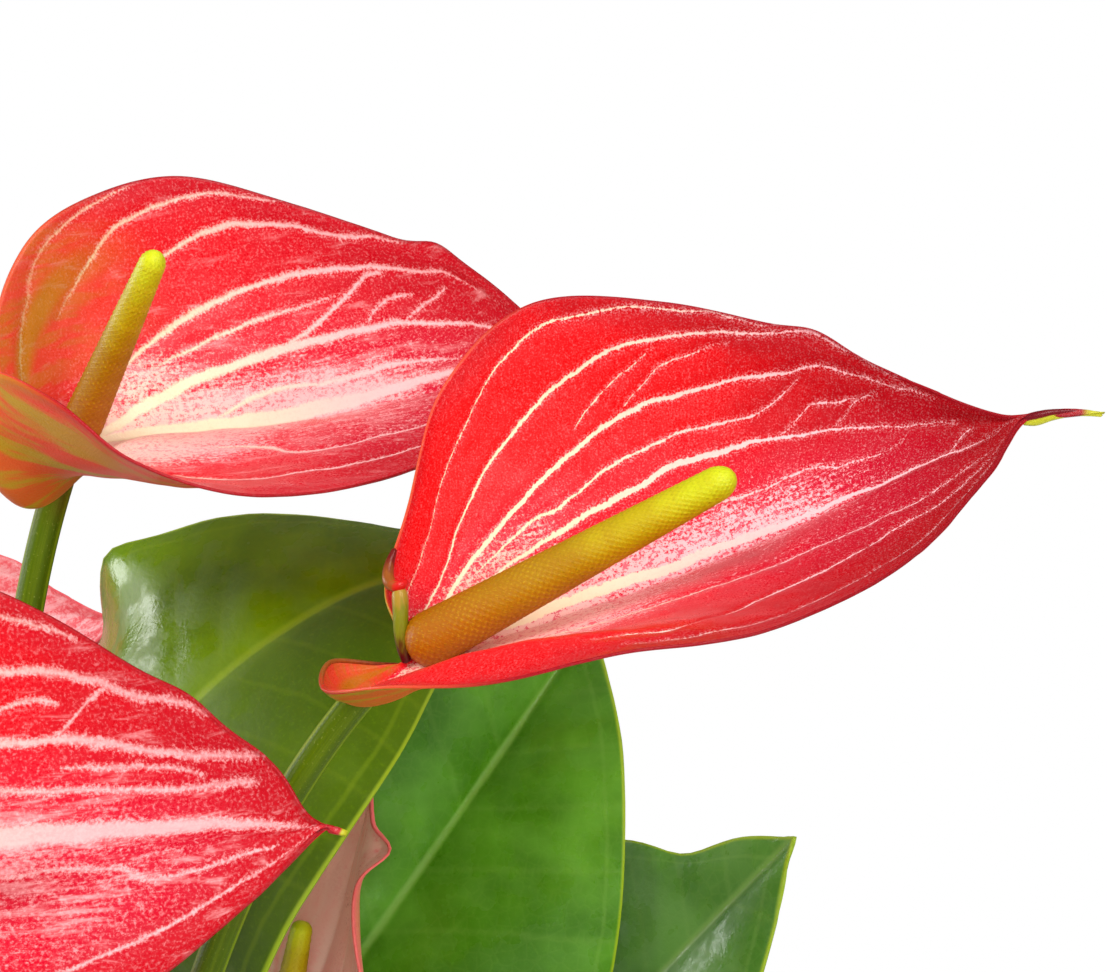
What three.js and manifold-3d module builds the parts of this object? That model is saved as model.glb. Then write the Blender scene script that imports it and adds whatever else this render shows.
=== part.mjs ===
// A potted flamingo flower: five blooms and ten leaves on three short crowns, in a plain round pot.
// Millimetres, +Z up. The origin is the middle of the pot's foot, on the surface that it stands on.
// The front of the plant, where the largest bloom shows its face, looks along -Y.

import * as THREE from 'three';
import { mergeVertices } from 'three/addons/utils/BufferGeometryUtils.js';
import Module from 'manifold-3d';

const wasm = await Module();
wasm.setup();

// Driving dimensions
const clearance = 0.3; // between two pieces that touch
const pot = { height: 122, footRadius: 47, topRadius: 66, wall: 4.5, floor: 6, rimHeight: 20, rimStep: 4.5,
  edge: 2, facets: 32 };
const mix = { level: 106, relief: 1.6, rings: 3 };
const crown = { foot: 82, top: 126, radius: 12.5, stalkRing: 7.6, stalkDepth: 9, sides: 12 };
const crowns = [[2, 25], [-22, -12], [22, -12]]; // middles of the three crowns
const spathe = { thickness: 0.9, along: 22, across: 10 };
const leafBlade = { thickness: 0.8, across: 8 };
const flowerStalk = { footRadius: 2.9, neckRadius: 2.6, sides: 8, steps: 13 };
const leafStalk = { footRadius: 2.7, neckRadius: 2.1, sides: 6, steps: 10 };
const spadix = { radius: 4.6, tipShare: 0.56, floretRise: 0.45, around: 7, rowHeight: 2.6, sunk: 2 };

const vector = (xyz) => new THREE.Vector3(...xyz);
const degrees = THREE.MathUtils.degToRad;
const smooth = THREE.MathUtils.smoothstep;
const rightward = new THREE.Vector3(1, 0, 0);
const upward = new THREE.Vector3(0, 0, 1);

// Solids and meshes

function toSolid(geometry) {
  const bare = geometry.clone();
  bare.deleteAttribute('normal');
  bare.deleteAttribute('uv');
  const merged = mergeVertices(bare, 1e-4);
  return new wasm.Manifold(new wasm.Mesh({
    numProp: 3,
    vertProperties: merged.getAttribute('position').array,
    triVerts: new Uint32Array(merged.index.array),
  }));
}

// The largest body of a solid: a cut at a thin margin can leave a crumb beside it.
function toGeometry(solid) {
  const [body] = solid.decompose().sort((p, q) => q.volume() - p.volume());
  const { vertProperties, triVerts } = body.getMesh();
  const geometry = new THREE.BufferGeometry();
  geometry.setAttribute('position', new THREE.BufferAttribute(vertProperties, 3));
  geometry.setIndex(new THREE.BufferAttribute(triVerts, 1));
  geometry.computeVertexNormals();
  return geometry;
}

function fromTriangles(points, triangles) {
  const geometry = new THREE.BufferGeometry().setFromPoints(points);
  geometry.setIndex(triangles);
  return geometry;
}

function cutAway(geometry, ...tools) {
  return toGeometry(tools.reduce((left, tool) => left.subtract(toSolid(tool)), toSolid(geometry)));
}

function fuse(...geometries) {
  return toGeometry(geometries.map(toSolid).reduce((sum, solid) => sum.add(solid)));
}

function mesh(name, geometry, material) {
  const made = new THREE.Mesh(geometry, material);
  made.name = name;
  return made;
}

// A round body turned about the vertical, from its outline of [radius, height] points.
function turned(outline, facets) {
  const points = outline.map(([radius, height]) => new THREE.Vector2(radius, height));
  return new THREE.LatheGeometry(points, facets).rotateX(Math.PI / 2);
}

// A round stalk along a curve. Its radius changes evenly from foot to neck.
function stalkAlong(curve, footRadius, neckRadius, steps, sides = 8) {
  const { normals, binormals } = curve.computeFrenetFrames(steps);
  const points = [];
  for (let i = 0; i <= steps; i++) {
    const radius = THREE.MathUtils.lerp(footRadius, neckRadius, i / steps);
    for (let j = 0; j < sides; j++) {
      const angle = 2 * Math.PI * j / sides;
      points.push(curve.getPointAt(i / steps)
        .addScaledVector(normals[i], radius * Math.cos(angle))
        .addScaledVector(binormals[i], radius * Math.sin(angle)));
    }
  }
  const foot = points.push(curve.getPointAt(0)) - 1;
  const neck = points.push(curve.getPointAt(1)) - 1;
  const triangles = [];
  for (let j = 0; j < sides; j++) {
    const next = (j + 1) % sides;
    triangles.push(foot, next, j);
    triangles.push(neck, steps * sides + j, steps * sides + next);
    for (let i = 0; i < steps; i++) {
      const low = i * sides;
      const high = low + sides;
      triangles.push(low + j, low + next, high + next, low + j, high + next, high + j);
    }
  }
  return fromTriangles(points, triangles);
}

// A thin blade over surface(u, a): u runs from the point where the stalk joins (0) to the tip (1),
// and a from one margin (-1) over the midrib (0) to the other (1). Every line of one a runs from
// that joint to the tip, as the veins do. Both faces are split into triangles alike.
function bladeOver(surface, thickness, along, across) {
  const share = (j) => 2 * j / across - 1;
  const joint = surface(0, 0);
  const tip = surface(1, 0);
  const rows = [];
  for (let i = 1; i < along; i++) {
    rows.push(Array.from({ length: across + 1 }, (_, j) => surface(i / along, share(j))));
  }
  const normalAt = (i, j) => {
    const before = i > 0 ? rows[i - 1][j] : joint;
    const after = i < rows.length - 1 ? rows[i + 1][j] : tip;
    const low = rows[i][Math.max(j - 1, 0)];
    const high = rows[i][Math.min(j + 1, across)];
    return after.clone().sub(before).cross(high.clone().sub(low)).normalize();
  };
  const points = [];
  const addPair = (point, normal) => {
    points.push(point.clone().addScaledVector(normal, thickness / 2));
    points.push(point.clone().addScaledVector(normal, -thickness / 2));
    return points.length - 2;
  };
  const middle = across / 2;
  const jointId = addPair(joint, normalAt(0, middle));
  const tipId = addPair(tip, normalAt(rows.length - 1, middle));
  const ids = rows.map((row, i) => row.map((point, j) => addPair(point, normalAt(i, j))));
  const triangles = [];
  const bothFaces = (p, q, r) => triangles.push(p, q, r, p + 1, r + 1, q + 1);
  const edge = (p, q) => triangles.push(p, q, q + 1, p, q + 1, p + 1);
  for (let j = 0; j < across; j++) {
    bothFaces(jointId, ids[0][j], ids[0][j + 1]);
    bothFaces(ids[rows.length - 1][j], tipId, ids[rows.length - 1][j + 1]);
    for (let i = 0; i < rows.length - 1; i++) {
      bothFaces(ids[i][j], ids[i + 1][j], ids[i + 1][j + 1]);
      bothFaces(ids[i][j], ids[i + 1][j + 1], ids[i][j + 1]);
    }
  }
  const rim = [jointId, ...ids.map((row) => row[across]), tipId, ...ids.map((row) => row[0]).reverse()];
  rim.forEach((p, k) => edge(p, rim[(k + 1) % rim.length]));
  return fromTriangles(points, triangles);
}

// Spathes. Three lines run from the joint, over the tip, to the end of the drip tip: x to the right,
// y away from the viewer and z up, as the bloom stands in front of the viewer. Each row of the swell
// belongs to one point of the lines: how far the upper half bellies back, how far the lower half
// hangs down, and how far it rises again in a fold beside its margin.

const tipPoint = 10; // the point of each line that is the tip, before the drip tip

const openSpathe = {
  midrib: [[0, 0, 0], [2, 0.5, 0.5], [4, 1, 0.5], [8, 2.5, 1.5], [15.5, 5, 3.5], [29, 7.5, 8],
    [47, 9, 14.5], [68, 8, 23.5], [85, 5.5, 32], [95.6, 3.8, 36.7], [101.8, 2.5, 40.3],
    [107.7, 2.3, 41.4], [115.1, 2.5, 41.1]],
  upper: [[0, 0, 0], [-1, -1, 6], [-3, 0, 13], [0.5, 4, 26], [6, 8, 45.5], [20.5, 12, 59.6],
    [43, 13, 60], [66, 11, 54.4], [84.5, 7, 46.2], [95.7, 4.5, 41.6], [101.8, 2.7, 40.5],
    [107.7, 2.4, 41.6], [115.1, 2.5, 41.1]],
  lower: [[0, 0, 0], [-3, -3, -0.5], [-12, -8, 1], [-9.5, -20, 0], [0, -32, 0.5], [15, -40, 0],
    [34.5, -42, 4], [56.5, -36, 7], [79, -20, 16.5], [94.2, -6, 30.1], [101.7, 1.8, 40],
    [107.6, 1.8, 40.3], [115.1, 2.5, 41.1]],
  swell: [[0, 0, 0], [1.5, 1, 0], [3, 5, 0], [4, 5, 1], [5, 3, 2.5], [6, 2, 5],
    [6, 2, 2.5], [6, 2, 0.5], [4.5, 2, 0], [2, 1, 0], [0.3, 0.2, 0],
    [0, 0, 0], [0, 0, 0]],
  wave: { at: 0.62, rise: 1.2 },
  spadix: { foot: [0.5, -1, 2.6], along: [0.87, -0.14, 0.475], length: 63, girth: 1 },
  stalkTurn: [0.73, 0, 0.68],
};

const cuppedSpathe = {
  midrib: [[0, 0, 0], [1, 0.5, 0], [3.5, 1.5, -0.5], [8, 3, 0], [15, 6, 0.5], [26, 9, 1.5],
    [40.5, 11, 3.5], [56.5, 11, 7], [71, 10, 10], [80.1, 8, 11.9], [88.2, 6, 14],
    [90.8, 6, 14.6], [92.6, 6, 14.9]],
  upper: [[0, 0, 0], [-2.5, 1, 1.5], [-10, -4, 5], [-13, -8, 19], [-8, -4, 34.5], [2, 3, 43.1],
    [17, 10, 47.5], [36.5, 14, 43], [54.5, 15, 37], [70.7, 12, 30], [88.2, 6.3, 14.2],
    [90.8, 6, 14.7], [92.6, 6, 14.9]],
  lower: [[0, 0, 0], [-1.5, -5, -2.5], [-6.5, -12, -8], [-11, -25, -5.5], [-9.5, -37, 10], [2.5, -42, 6],
    [15.5, -42, -4], [32, -38, -9.5], [49.5, -27, -8.5], [66.4, -12, -2.3], [88.2, 5.5, 13.7],
    [90.8, 6, 14.4], [92.6, 6, 14.9]],
  swell: [[0, 0, 0], [1.5, 1, 0], [3, 2, 0], [4, 8, 0], [5, 13, 0], [6, 11, 0],
    [6, 6.5, 0], [6, 2.5, 0], [5, 2, 0], [3, 1, 0], [0.3, 0.2, 0],
    [0, 0, 0], [0, 0, 0]],
  wave: { at: 0.71, rise: 1.8 },
  spadix: { foot: [0, -1, 1], along: [0.4, -0.6, 0.69], length: 46, girth: 0.8 },
  stalkTurn: [0.35, 0, 0.93],
};

// `opening` turns the lower half further down, in degrees, and `drip` is the share of the drip tip's
// full length.
function spatheSurface(shape, opening, drip) {
  const line = (points) => {
    const tip = vector(points[tipPoint]);
    const placed = points.map((xyz, k) => {
      const share = k > tipPoint ? drip : 1;
      return vector(xyz).sub(tip).multiplyScalar(share).add(tip);
    });
    return new THREE.CatmullRomCurve3(placed, false, 'catmullrom');
  };
  const midrib = line(shape.midrib);
  const upper = line(shape.upper);
  const lower = line(shape.lower);
  const swell = line(shape.swell);
  return (u, a) => {
    const reach = Math.abs(a);
    const middle = midrib.getPoint(u);
    const { x: back, y: sag, z: fold } = swell.getPoint(u);
    const across = (a > 0 ? upper : lower).getPoint(u).sub(middle).multiplyScalar(reach);
    if (a > 0) {
      across.y += back * Math.sin(Math.PI * reach);
      across.z += shape.wave.rise * reach ** 4 * Math.exp(-(((u - shape.wave.at) / 0.022) ** 2));
    } else {
      across.z += fold * smooth(reach, 0.45, 0.8) * (1 - smooth(reach, 0.8, 1));
      across.z -= sag * Math.sin(Math.PI * reach ** 1.6);
      across.applyAxisAngle(rightward, degrees(opening));
    }
    return across.add(middle);
  };
}

// A spadix along +Z: rows of diamond florets, each with a raised middle, under a round tip.
function spadixSolid(length, girth) {
  const rows = Math.round(length / spadix.rowHeight);
  const radiusAt = (row) => {
    const t = row / rows;
    const taper = THREE.MathUtils.lerp(1, spadix.tipShare, t);
    const roundFoot = Math.min(0.62 + 0.2 * row, 1);
    const roundTip = Math.sqrt(Math.max(1 - Math.max((t - 0.93) / 0.075, 0) ** 2, 0.05));
    return spadix.radius * girth * taper * roundFoot * roundTip;
  };
  const at = (row, turn, rise = 0) => {
    const angle = 2 * Math.PI * (turn + row / 2) / spadix.around;
    const radius = radiusAt(row) + rise;
    return new THREE.Vector3(radius * Math.cos(angle), radius * Math.sin(angle), length * row / rows);
  };
  const points = [];
  const ring = [];
  for (let row = 0; row <= rows; row++) {
    ring.push(Array.from({ length: spadix.around }, (_, j) => points.push(at(row, j)) - 1));
  }
  const wrapped = (row, j) => ring[row][(j + 2 * spadix.around) % spadix.around];
  const triangles = [];
  for (let j = 0; j < spadix.around; j++) {
    for (let row = 0; row + 2 <= rows; row++) {
      const middle = points.push(at(row + 1, j - 0.5, spadix.floretRise)) - 1;
      const low = wrapped(row, j);
      const right = wrapped(row + 1, j);
      const left = wrapped(row + 1, j - 1);
      const high = wrapped(row + 2, j - 1);
      triangles.push(low, right, middle, right, high, middle, high, left, middle, left, low, middle);
    }
  }
  const foot = points.push(new THREE.Vector3(0, 0, 0)) - 1;
  const tip = points.push(new THREE.Vector3(0, 0, length)) - 1;
  for (let j = 0; j < spadix.around; j++) {
    triangles.push(foot, wrapped(0, j + 1), wrapped(0, j));
    triangles.push(wrapped(0, j), wrapped(0, j + 1), wrapped(1, j));
    triangles.push(tip, wrapped(rows, j), wrapped(rows, j + 1));
    triangles.push(wrapped(rows, j + 1), wrapped(rows, j), wrapped(rows - 1, j + 1));
  }
  return fromTriangles(points, triangles);
}

// Leaves. The flat outline is given in shares of the leaf's length; half of it, as the other is alike.

const leafOutline = {
  midrib: [0, 0.02, 0.05, 0.11, 0.22, 0.38, 0.56, 0.76, 0.91, 1],
  margin: [[0, 0], [-0.12, 0.05], [-0.21, 0.15], [-0.2, 0.32], [-0.04, 0.44], [0.24, 0.43], [0.52, 0.33],
    [0.76, 0.18], [0.92, 0.06], [1, 0]],
};

// `fold` is the angle that each half rises at, `arch` the angle that the blade bends through from end
// to end, and `wave` the height of the waves in its margins, all in degrees or millimetres.
function leafSurface({ length, breadth = 1, arch = 40, fold = 15, wave = 3, phase = 0 }) {
  const line = (points) => new THREE.CatmullRomCurve3(points.map(vector), false, 'catmullrom');
  const midrib = line(leafOutline.midrib.map((x) => [x, 0, 0]));
  const margin = line(leafOutline.margin.map(([x, y]) => [x, y * breadth, 0]));
  const bend = degrees(arch) / length;
  const rise = degrees(fold);
  return (u, a) => {
    const flat = midrib.getPoint(u).lerp(margin.getPoint(u), Math.abs(a)).multiplyScalar(length);
    const ripple = Math.sin(2 * Math.PI * (2.2 * u + phase) + (a < 0 ? 1.3 : 0)) * Math.sin(Math.PI * u);
    const lift = flat.y * Math.sin(rise) - 0.62 * flat.y * flat.y / length + wave * a * a * ripple;
    const turn = bend * flat.x;
    return new THREE.Vector3(
      Math.sin(turn) / bend + lift * Math.sin(turn),
      Math.sign(a) * flat.y * Math.cos(rise),
      (Math.cos(turn) - 1) / bend + lift * Math.cos(turn),
    );
  };
}

// The plant. A bloom or leaf stands where its stalk joins it. `root` is its crown, and the bearing
// in degrees at which its stalk leaves that crown. Turns are in degrees.

const frontTilt = -10; // the blooms' faces lean back this much, towards a viewer who looks down on them
const blooms = [
  { at: [45, -15, 330], spin: 0, shape: openSpathe, root: [1, 0], reach: [0.3, 0.3] },
  { at: [-14.8, 30.9, 359.8], spin: 0, shape: cuppedSpathe, root: [1, 75], reach: [0.3, 0.3] },
  { at: [-75.2, -52.8, 303], spin: 16.5, opening: 32, drip: 0.3, shape: openSpathe,
    stalkTurn: [0.35, 0, 0.94], root: [2, -165], reach: [0.5, 0.3] },
  { at: [-102.7, 97.3, 287], spin: 5, scale: 0.8, drip: 0.3, shape: openSpathe,
    stalkTurn: [0.35, 0, 0.94], root: [0, -150], reach: [0.5, 0.3] },
  { at: [18.3, 36.8, 239.3], spin: -50, scale: 0.5, opening: 20, drip: 0.2, shape: openSpathe,
    root: [0, -30], reach: [0.35, 0.15] },
];

const leaves = [
  { at: [-9, 29, 291], heading: -30, tilt: -63, roll: 63, length: 95, breadth: 1.16, arch: 86, fold: 6,
    wave: 5, phase: 0.91, knee: 20, along: 15, root: [0, -90], reach: [0.6, 0.2] },
  { at: [11.6, 58.3, 225.8], heading: -6, tilt: -55, roll: 90, length: 118, breadth: 1.19, arch: 44, fold: 30,
    wave: 5, phase: 0.26, knee: 20, along: 15, root: [0, 150], reach: [0.5, 0.3] },
  { at: [50.6, 83.2, 199.5], heading: -26, tilt: -49, roll: 60, length: 108, breadth: 1.12, arch: 1, fold: 13,
    wave: 5, phase: -0.38, knee: 0, along: 15, root: [0, 30], reach: [0.35, 0.3] },
  { at: [70, -40, 212], heading: -33, tilt: 24, length: 118, phase: 0.7, root: [2, 90], reach: [0.6, 0.2] },
  { at: [20, -82, 186], heading: -72, tilt: 30, length: 112, breadth: 1.05, phase: 0.3,
    root: [2, -90], reach: [0.35, 0.3] },
  { at: [-40, -76, 204], heading: -118, tilt: 16, length: 132, phase: 0.6,
    root: [1, -105], reach: [0.35, 0.15] },
  { at: [-88, -22, 216], heading: 196, tilt: 20, length: 126, phase: 0.2,
    root: [1, -165], reach: [0.35, 0.15] },
  { at: [-82, 50, 198], heading: 156, tilt: 16, length: 120, breadth: 0.95, phase: 0.8,
    root: [1, 135], reach: [0.35, 0.3] },
  { at: [-20, 116, 184], heading: 102, tilt: 18, length: 124, phase: 0.5, root: [0, 90], reach: [0.35, 0.3] },
  { at: [86, -8, 180], heading: 0, tilt: 10, length: 116, breadth: 1.08, phase: 0.1,
    root: [2, 15], reach: [0.35, 0.3] },
];

function rootPoint([index, bearing]) {
  const [x, y] = crowns[index];
  const angle = degrees(bearing);
  const foot = new THREE.Vector3(x, y, crown.top - crown.stalkDepth);
  return foot.add(new THREE.Vector3(Math.cos(angle), Math.sin(angle), 0).multiplyScalar(crown.stalkRing));
}

// The curve of a stalk that rises from its root and comes to `end` along `arrival`. The two reaches
// are the shares of its length over which it keeps those directions, and `sink` lowers its root.
function stalkCurve(root, end, arrival, [rootReach, endReach], sink = 0) {
  const start = rootPoint(root);
  start.z -= sink;
  const angle = degrees(root[1]);
  const rise = new THREE.Vector3(0.12 * Math.cos(angle), 0.12 * Math.sin(angle), 1).normalize();
  const distance = start.distanceTo(end);
  return new THREE.CubicBezierCurve3(
    start,
    start.clone().addScaledVector(rise, rootReach * distance),
    end.clone().addScaledVector(arrival, -endReach * distance),
    end,
  );
}

const finish = {
  pot: new THREE.MeshStandardMaterial({ color: '#b9b3a6', roughness: 0.35, metalness: 0 }),
  mix: new THREE.MeshStandardMaterial({ color: '#3a291d', roughness: 0.95, metalness: 0 }),
  crown: new THREE.MeshStandardMaterial({ color: '#6f6a35', roughness: 0.8, metalness: 0 }),
  leaf: new THREE.MeshStandardMaterial({ color: '#3f6410', roughness: 0.3, metalness: 0 }),
  stalk: new THREE.MeshStandardMaterial({ color: '#4a6408', roughness: 0.4, metalness: 0 }),
  spathe: new THREE.MeshStandardMaterial({ color: '#e3222b', roughness: 0.25, metalness: 0 }),
  spadix: new THREE.MeshStandardMaterial({ color: '#cf8f12', roughness: 0.4, metalness: 0 }),
};

function makePot() {
  const { height, footRadius, topRadius, wall, floor, rimHeight, rimStep, edge } = pot;
  const rimRadius = topRadius + rimStep;
  const rimFoot = height - rimHeight;
  const innerTop = topRadius - wall;
  const innerFoot = footRadius - wall;
  return mesh('pot', turned([
    [0, 0], [footRadius - edge, 0], [footRadius, edge],
    [topRadius - 1, rimFoot - edge], [rimRadius - 1, rimFoot], [rimRadius, rimFoot + edge],
    [rimRadius, height - edge], [rimRadius - edge, height],
    [innerTop + edge, height], [innerTop, height - edge],
    [innerFoot, floor + 2 * edge], [innerFoot - 2 * edge, floor], [0, floor],
  ], pot.facets), finish.pot);
}

// The potting mix fills the pot to its level, and its top is lumpy.
function makeMix(crownHoles) {
  const gap = clearance + 0.1;
  const bottom = pot.floor + gap;
  const corner = bottom + 2 * pot.edge;
  const foot = pot.footRadius - pot.wall - gap;
  const slope = (pot.topRadius - pot.footRadius) / (pot.height - pot.floor - 3 * pot.edge);
  const rim = foot + slope * (mix.level - corner);
  const outline = [[0, bottom], [foot - 2 * pot.edge, bottom], [foot, corner], [rim, mix.level - 2]];
  for (let ring = mix.rings; ring > 0; ring--) {
    outline.push([(rim - 1.5) * ring / mix.rings, mix.level]);
  }
  outline.push([0, mix.level]);
  const body = turned(outline, pot.facets);
  const position = body.getAttribute('position');
  for (let i = 0; i < position.count; i++) {
    const [x, y, z] = [position.getX(i), position.getY(i), position.getZ(i)];
    const lump = Math.sin(0.21 * x + 1.1) * Math.cos(0.17 * y) + 0.6 * Math.sin(0.43 * y + 0.31 * x);
    if (z > mix.level - 1) {
      position.setZ(i, z + mix.relief * lump);
    }
  }
  return mesh('potting_mix', cutAway(body, ...crownHoles), finish.mix);
}

// A crown is the short ringed stem that the stalks leave. `grow` widens it to cut its hole in the mix.
function crownBody([x, y], grow = 0) {
  const rings = [[0.8, 0], [0.95, 0.15], [0.92, 0.45], [1, 0.58], [0.9, 0.7], [0.98, 0.82], [0.72, 0.94]];
  const height = crown.top - crown.foot;
  const outline = rings.map(([share, level]) => [crown.radius * share + grow, crown.foot + height * level]);
  const top = [[crown.radius * 0.4, crown.top], [0, crown.top]];
  return turned([[0, crown.foot - grow], ...outline, ...top], crown.sides).translate(x, y, 0);
}

const plant = new THREE.Group();
const stalkHoles = [];
const seatRoom = { radius: 9, depth: 16 }; // a cutting cylinder under the spadix, wider than any of them

// A stalk, and the room for it in the crowns.
function makeStalk(root, end, arrival, reach, { footRadius, neckRadius, sides, steps }) {
  const room = stalkCurve(root, end, arrival, reach, clearance);
  stalkHoles.push(stalkAlong(room, footRadius + clearance, neckRadius + clearance, steps, sides));
  return stalkAlong(stalkCurve(root, end, arrival, reach), footRadius, neckRadius, steps, sides);
}

blooms.forEach((bloom, index) => {
  const { at, spin, scale = 1, opening = 0, drip = 1, shape, root, reach } = bloom;
  const group = new THREE.Group();
  group.position.set(...at);
  group.rotation.set(degrees(frontTilt), degrees(spin), 0);
  plant.add(group);
  group.updateMatrix();

  const arrival = vector(bloom.stalkTurn ?? shape.stalkTurn).normalize();
  const stalkEnd = vector(shape.spadix.foot).multiplyScalar(scale);
  const end = stalkEnd.clone().applyMatrix4(group.matrix);
  const stalk = makeStalk(root, end, arrival.clone().transformDirection(group.matrix), reach, flowerStalk);
  plant.add(mesh(`flower_stalk_${index + 1}`, stalk, finish.stalk));

  // The spadix stands on the end of its stalk, so what lies beside or below that end is cut away.
  const along = vector(shape.spadix.along).normalize();
  const seatEnd = stalkEnd.clone().addScaledVector(arrival, clearance);
  const below = stalkEnd.clone().addScaledVector(arrival, -seatRoom.depth);
  const foot = seatEnd.clone().addScaledVector(along, -spadix.sunk);
  const girth = shape.spadix.girth * Math.sqrt(scale);
  const club = spadixSolid(shape.spadix.length * scale, girth)
    .applyQuaternion(new THREE.Quaternion().setFromUnitVectors(upward, along))
    .translate(...foot);
  const seat = stalkAlong(new THREE.LineCurve3(below, seatEnd), seatRoom.radius, seatRoom.radius, 1, 12);
  group.add(mesh(`spadix_${index + 1}`, cutAway(club, seat), finish.spadix));

  const surface = spatheSurface(shape, opening, drip);
  const sheet = bladeOver(
    (u, a) => surface(u, a).multiplyScalar(scale),
    spathe.thickness,
    Math.round(spathe.along * scale),
    spathe.across,
  );
  const stalkRoom = stalkHoles.at(-1).clone().applyMatrix4(group.matrix.clone().invert());
  const clubRoom = spadix.radius * girth + spadix.floretRise + clearance;
  const clubTop = foot.clone().addScaledVector(along, shape.spadix.length * scale);
  const around = stalkAlong(new THREE.LineCurve3(foot, clubTop), clubRoom, clubRoom * 0.8, 1, 14);
  group.add(mesh(`spathe_${index + 1}`, cutAway(sheet, stalkRoom, around), finish.spathe));
});

leaves.forEach((leaf, index) => {
  const { at, heading, tilt, roll = 0, knee = 65, along = 10, root, reach } = leaf;
  const turn = new THREE.Euler(degrees(roll), degrees(tilt), degrees(heading), 'ZYX');
  const place = new THREE.Matrix4().makeRotationFromEuler(turn).setPosition(...at);
  const blade = bladeOver(leafSurface(leaf), leafBlade.thickness, along, leafBlade.across);
  const arrival = vector([Math.cos(degrees(knee)), 0, Math.sin(degrees(knee))]).transformDirection(place);
  const stalk = makeStalk(root, vector(at).addScaledVector(arrival, 0.6), arrival, reach, leafStalk);
  plant.add(mesh(`leaf_${index + 1}`, fuse(blade.applyMatrix4(place), stalk), finish.leaf));
});

crowns.forEach((middle, index) => {
  plant.add(mesh(`crown_${index + 1}`, cutAway(crownBody(middle), ...stalkHoles), finish.crown));
});
plant.add(makePot(), makeMix(crowns.map((middle) => crownBody(middle, clearance))));

export default plant;
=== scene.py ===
# A potted flamingo flower: five blooms, ten leaves, three crowns, the potting mix and the pot.
# Shapes are worked out in millimetres from under the middle of the pot, as in the CAD part.
import math

import bpy
import numpy as np
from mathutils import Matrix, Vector, noise


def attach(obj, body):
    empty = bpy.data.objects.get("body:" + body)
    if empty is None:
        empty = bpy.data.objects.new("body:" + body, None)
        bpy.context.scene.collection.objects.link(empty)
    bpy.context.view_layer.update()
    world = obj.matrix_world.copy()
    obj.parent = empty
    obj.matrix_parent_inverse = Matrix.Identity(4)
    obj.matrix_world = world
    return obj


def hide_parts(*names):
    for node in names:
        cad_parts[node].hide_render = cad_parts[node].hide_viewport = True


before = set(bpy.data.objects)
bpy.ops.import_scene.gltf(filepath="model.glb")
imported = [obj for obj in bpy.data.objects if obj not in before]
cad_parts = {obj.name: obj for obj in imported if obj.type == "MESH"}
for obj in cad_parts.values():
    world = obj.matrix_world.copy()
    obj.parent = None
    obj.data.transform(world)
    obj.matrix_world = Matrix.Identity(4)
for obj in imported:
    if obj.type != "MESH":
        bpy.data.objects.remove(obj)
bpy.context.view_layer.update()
millimetre = 0.001


def deselectAll():
    if bpy.context.object and bpy.context.object.mode == "EDIT":
        bpy.ops.object.mode_set(mode="OBJECT")
    bpy.ops.object.select_all(action="DESELECT")


def pick(*pieces):
    # only these are selected, and the first one is active
    deselectAll()
    for piece in pieces:
        piece.select_set(True)
    bpy.context.view_layer.objects.active = pieces[0]


def smoothStep(value, low, high):
    share = np.clip((value - low) / (high - low), 0, 1)
    return share * share * (3 - 2 * share)


def smoothLine(points, share):
    # a smooth line through evenly spaced points, read at shares from 0 to 1
    points = np.array(points, float)
    last = len(points) - 1
    path = np.concatenate([2 * points[:1] - points[1:2], points, 2 * points[-1:] - points[-2:-1]])
    place = np.clip(share, 0, 1) * last
    first = np.minimum(place.astype(int), last - 1)
    step = (place - first)[..., None]
    a, b, c, d = (path[first + k] for k in range(4))
    bend = (2 * a - 5 * b + 4 * c - d) * step**2 + (3 * b - a - 3 * c + d) * step**3
    return 0.5 * (2 * b + (c - a) * step + bend)


def readThrough(points, at, column=1):
    # the height at `at` of a smooth line through points that start with their place
    samples = smoothLine(points, np.linspace(0, 1, 240))
    return np.interp(at, samples[:, 0], samples[:, column])


def turned(points, axis, degrees):
    # points turned about an axis through the origin, by one angle or by an angle for each
    cosine, sine = np.cos(np.radians(degrees)), np.sin(np.radians(degrees))
    axis = np.array(axis, float)
    along = points @ axis
    return points * cosine + np.cross(axis, points) * sine + along[..., None] * axis * (1 - cosine)


def lumps(points, size, seed=0):
    # smooth noise from -1 to 1 with features of about `size` millimetres
    shift = Vector((seed * 7.3, seed * 3.1, seed * 5.7))
    return np.array([noise.noise(Vector(p) / size + shift) for p in points])


def readAll(items, key, width=3):
    flat = np.empty(len(items) * width)
    items.foreach_get(key, flat)
    return flat.reshape(-1, width)


def readPoints(mesh):
    return readAll(mesh.vertices, "co")


def writePoints(mesh, points):
    mesh.vertices.foreach_set("co", np.ascontiguousarray(points, dtype=float).ravel())
    mesh.update()


def readUv(mesh):
    return readAll(mesh.uv_layers.active.data, "uv", 2)


def acrossFrom(v):
    # a is -1 at the lower margin, 0 on the midrib and 1 at the upper margin
    return 2 * v - 1


def pointPlaces(mesh):
    # each point's u and a, read back from the UV map
    corners = readAll(mesh.loops, "vertex_index", 1)[:, 0].astype(int)
    places = np.zeros((len(mesh.vertices), 2))
    places[corners] = readUv(mesh)
    return places[:, 0], acrossFrom(places[:, 1])


def pushOut(mesh, distances):
    # moves each point along its normal by its own distance in millimetres
    normals = readAll(mesh.vertices, "normal")
    writePoints(mesh, readPoints(mesh) + normals * distances[:, None] * millimetre)


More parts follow.
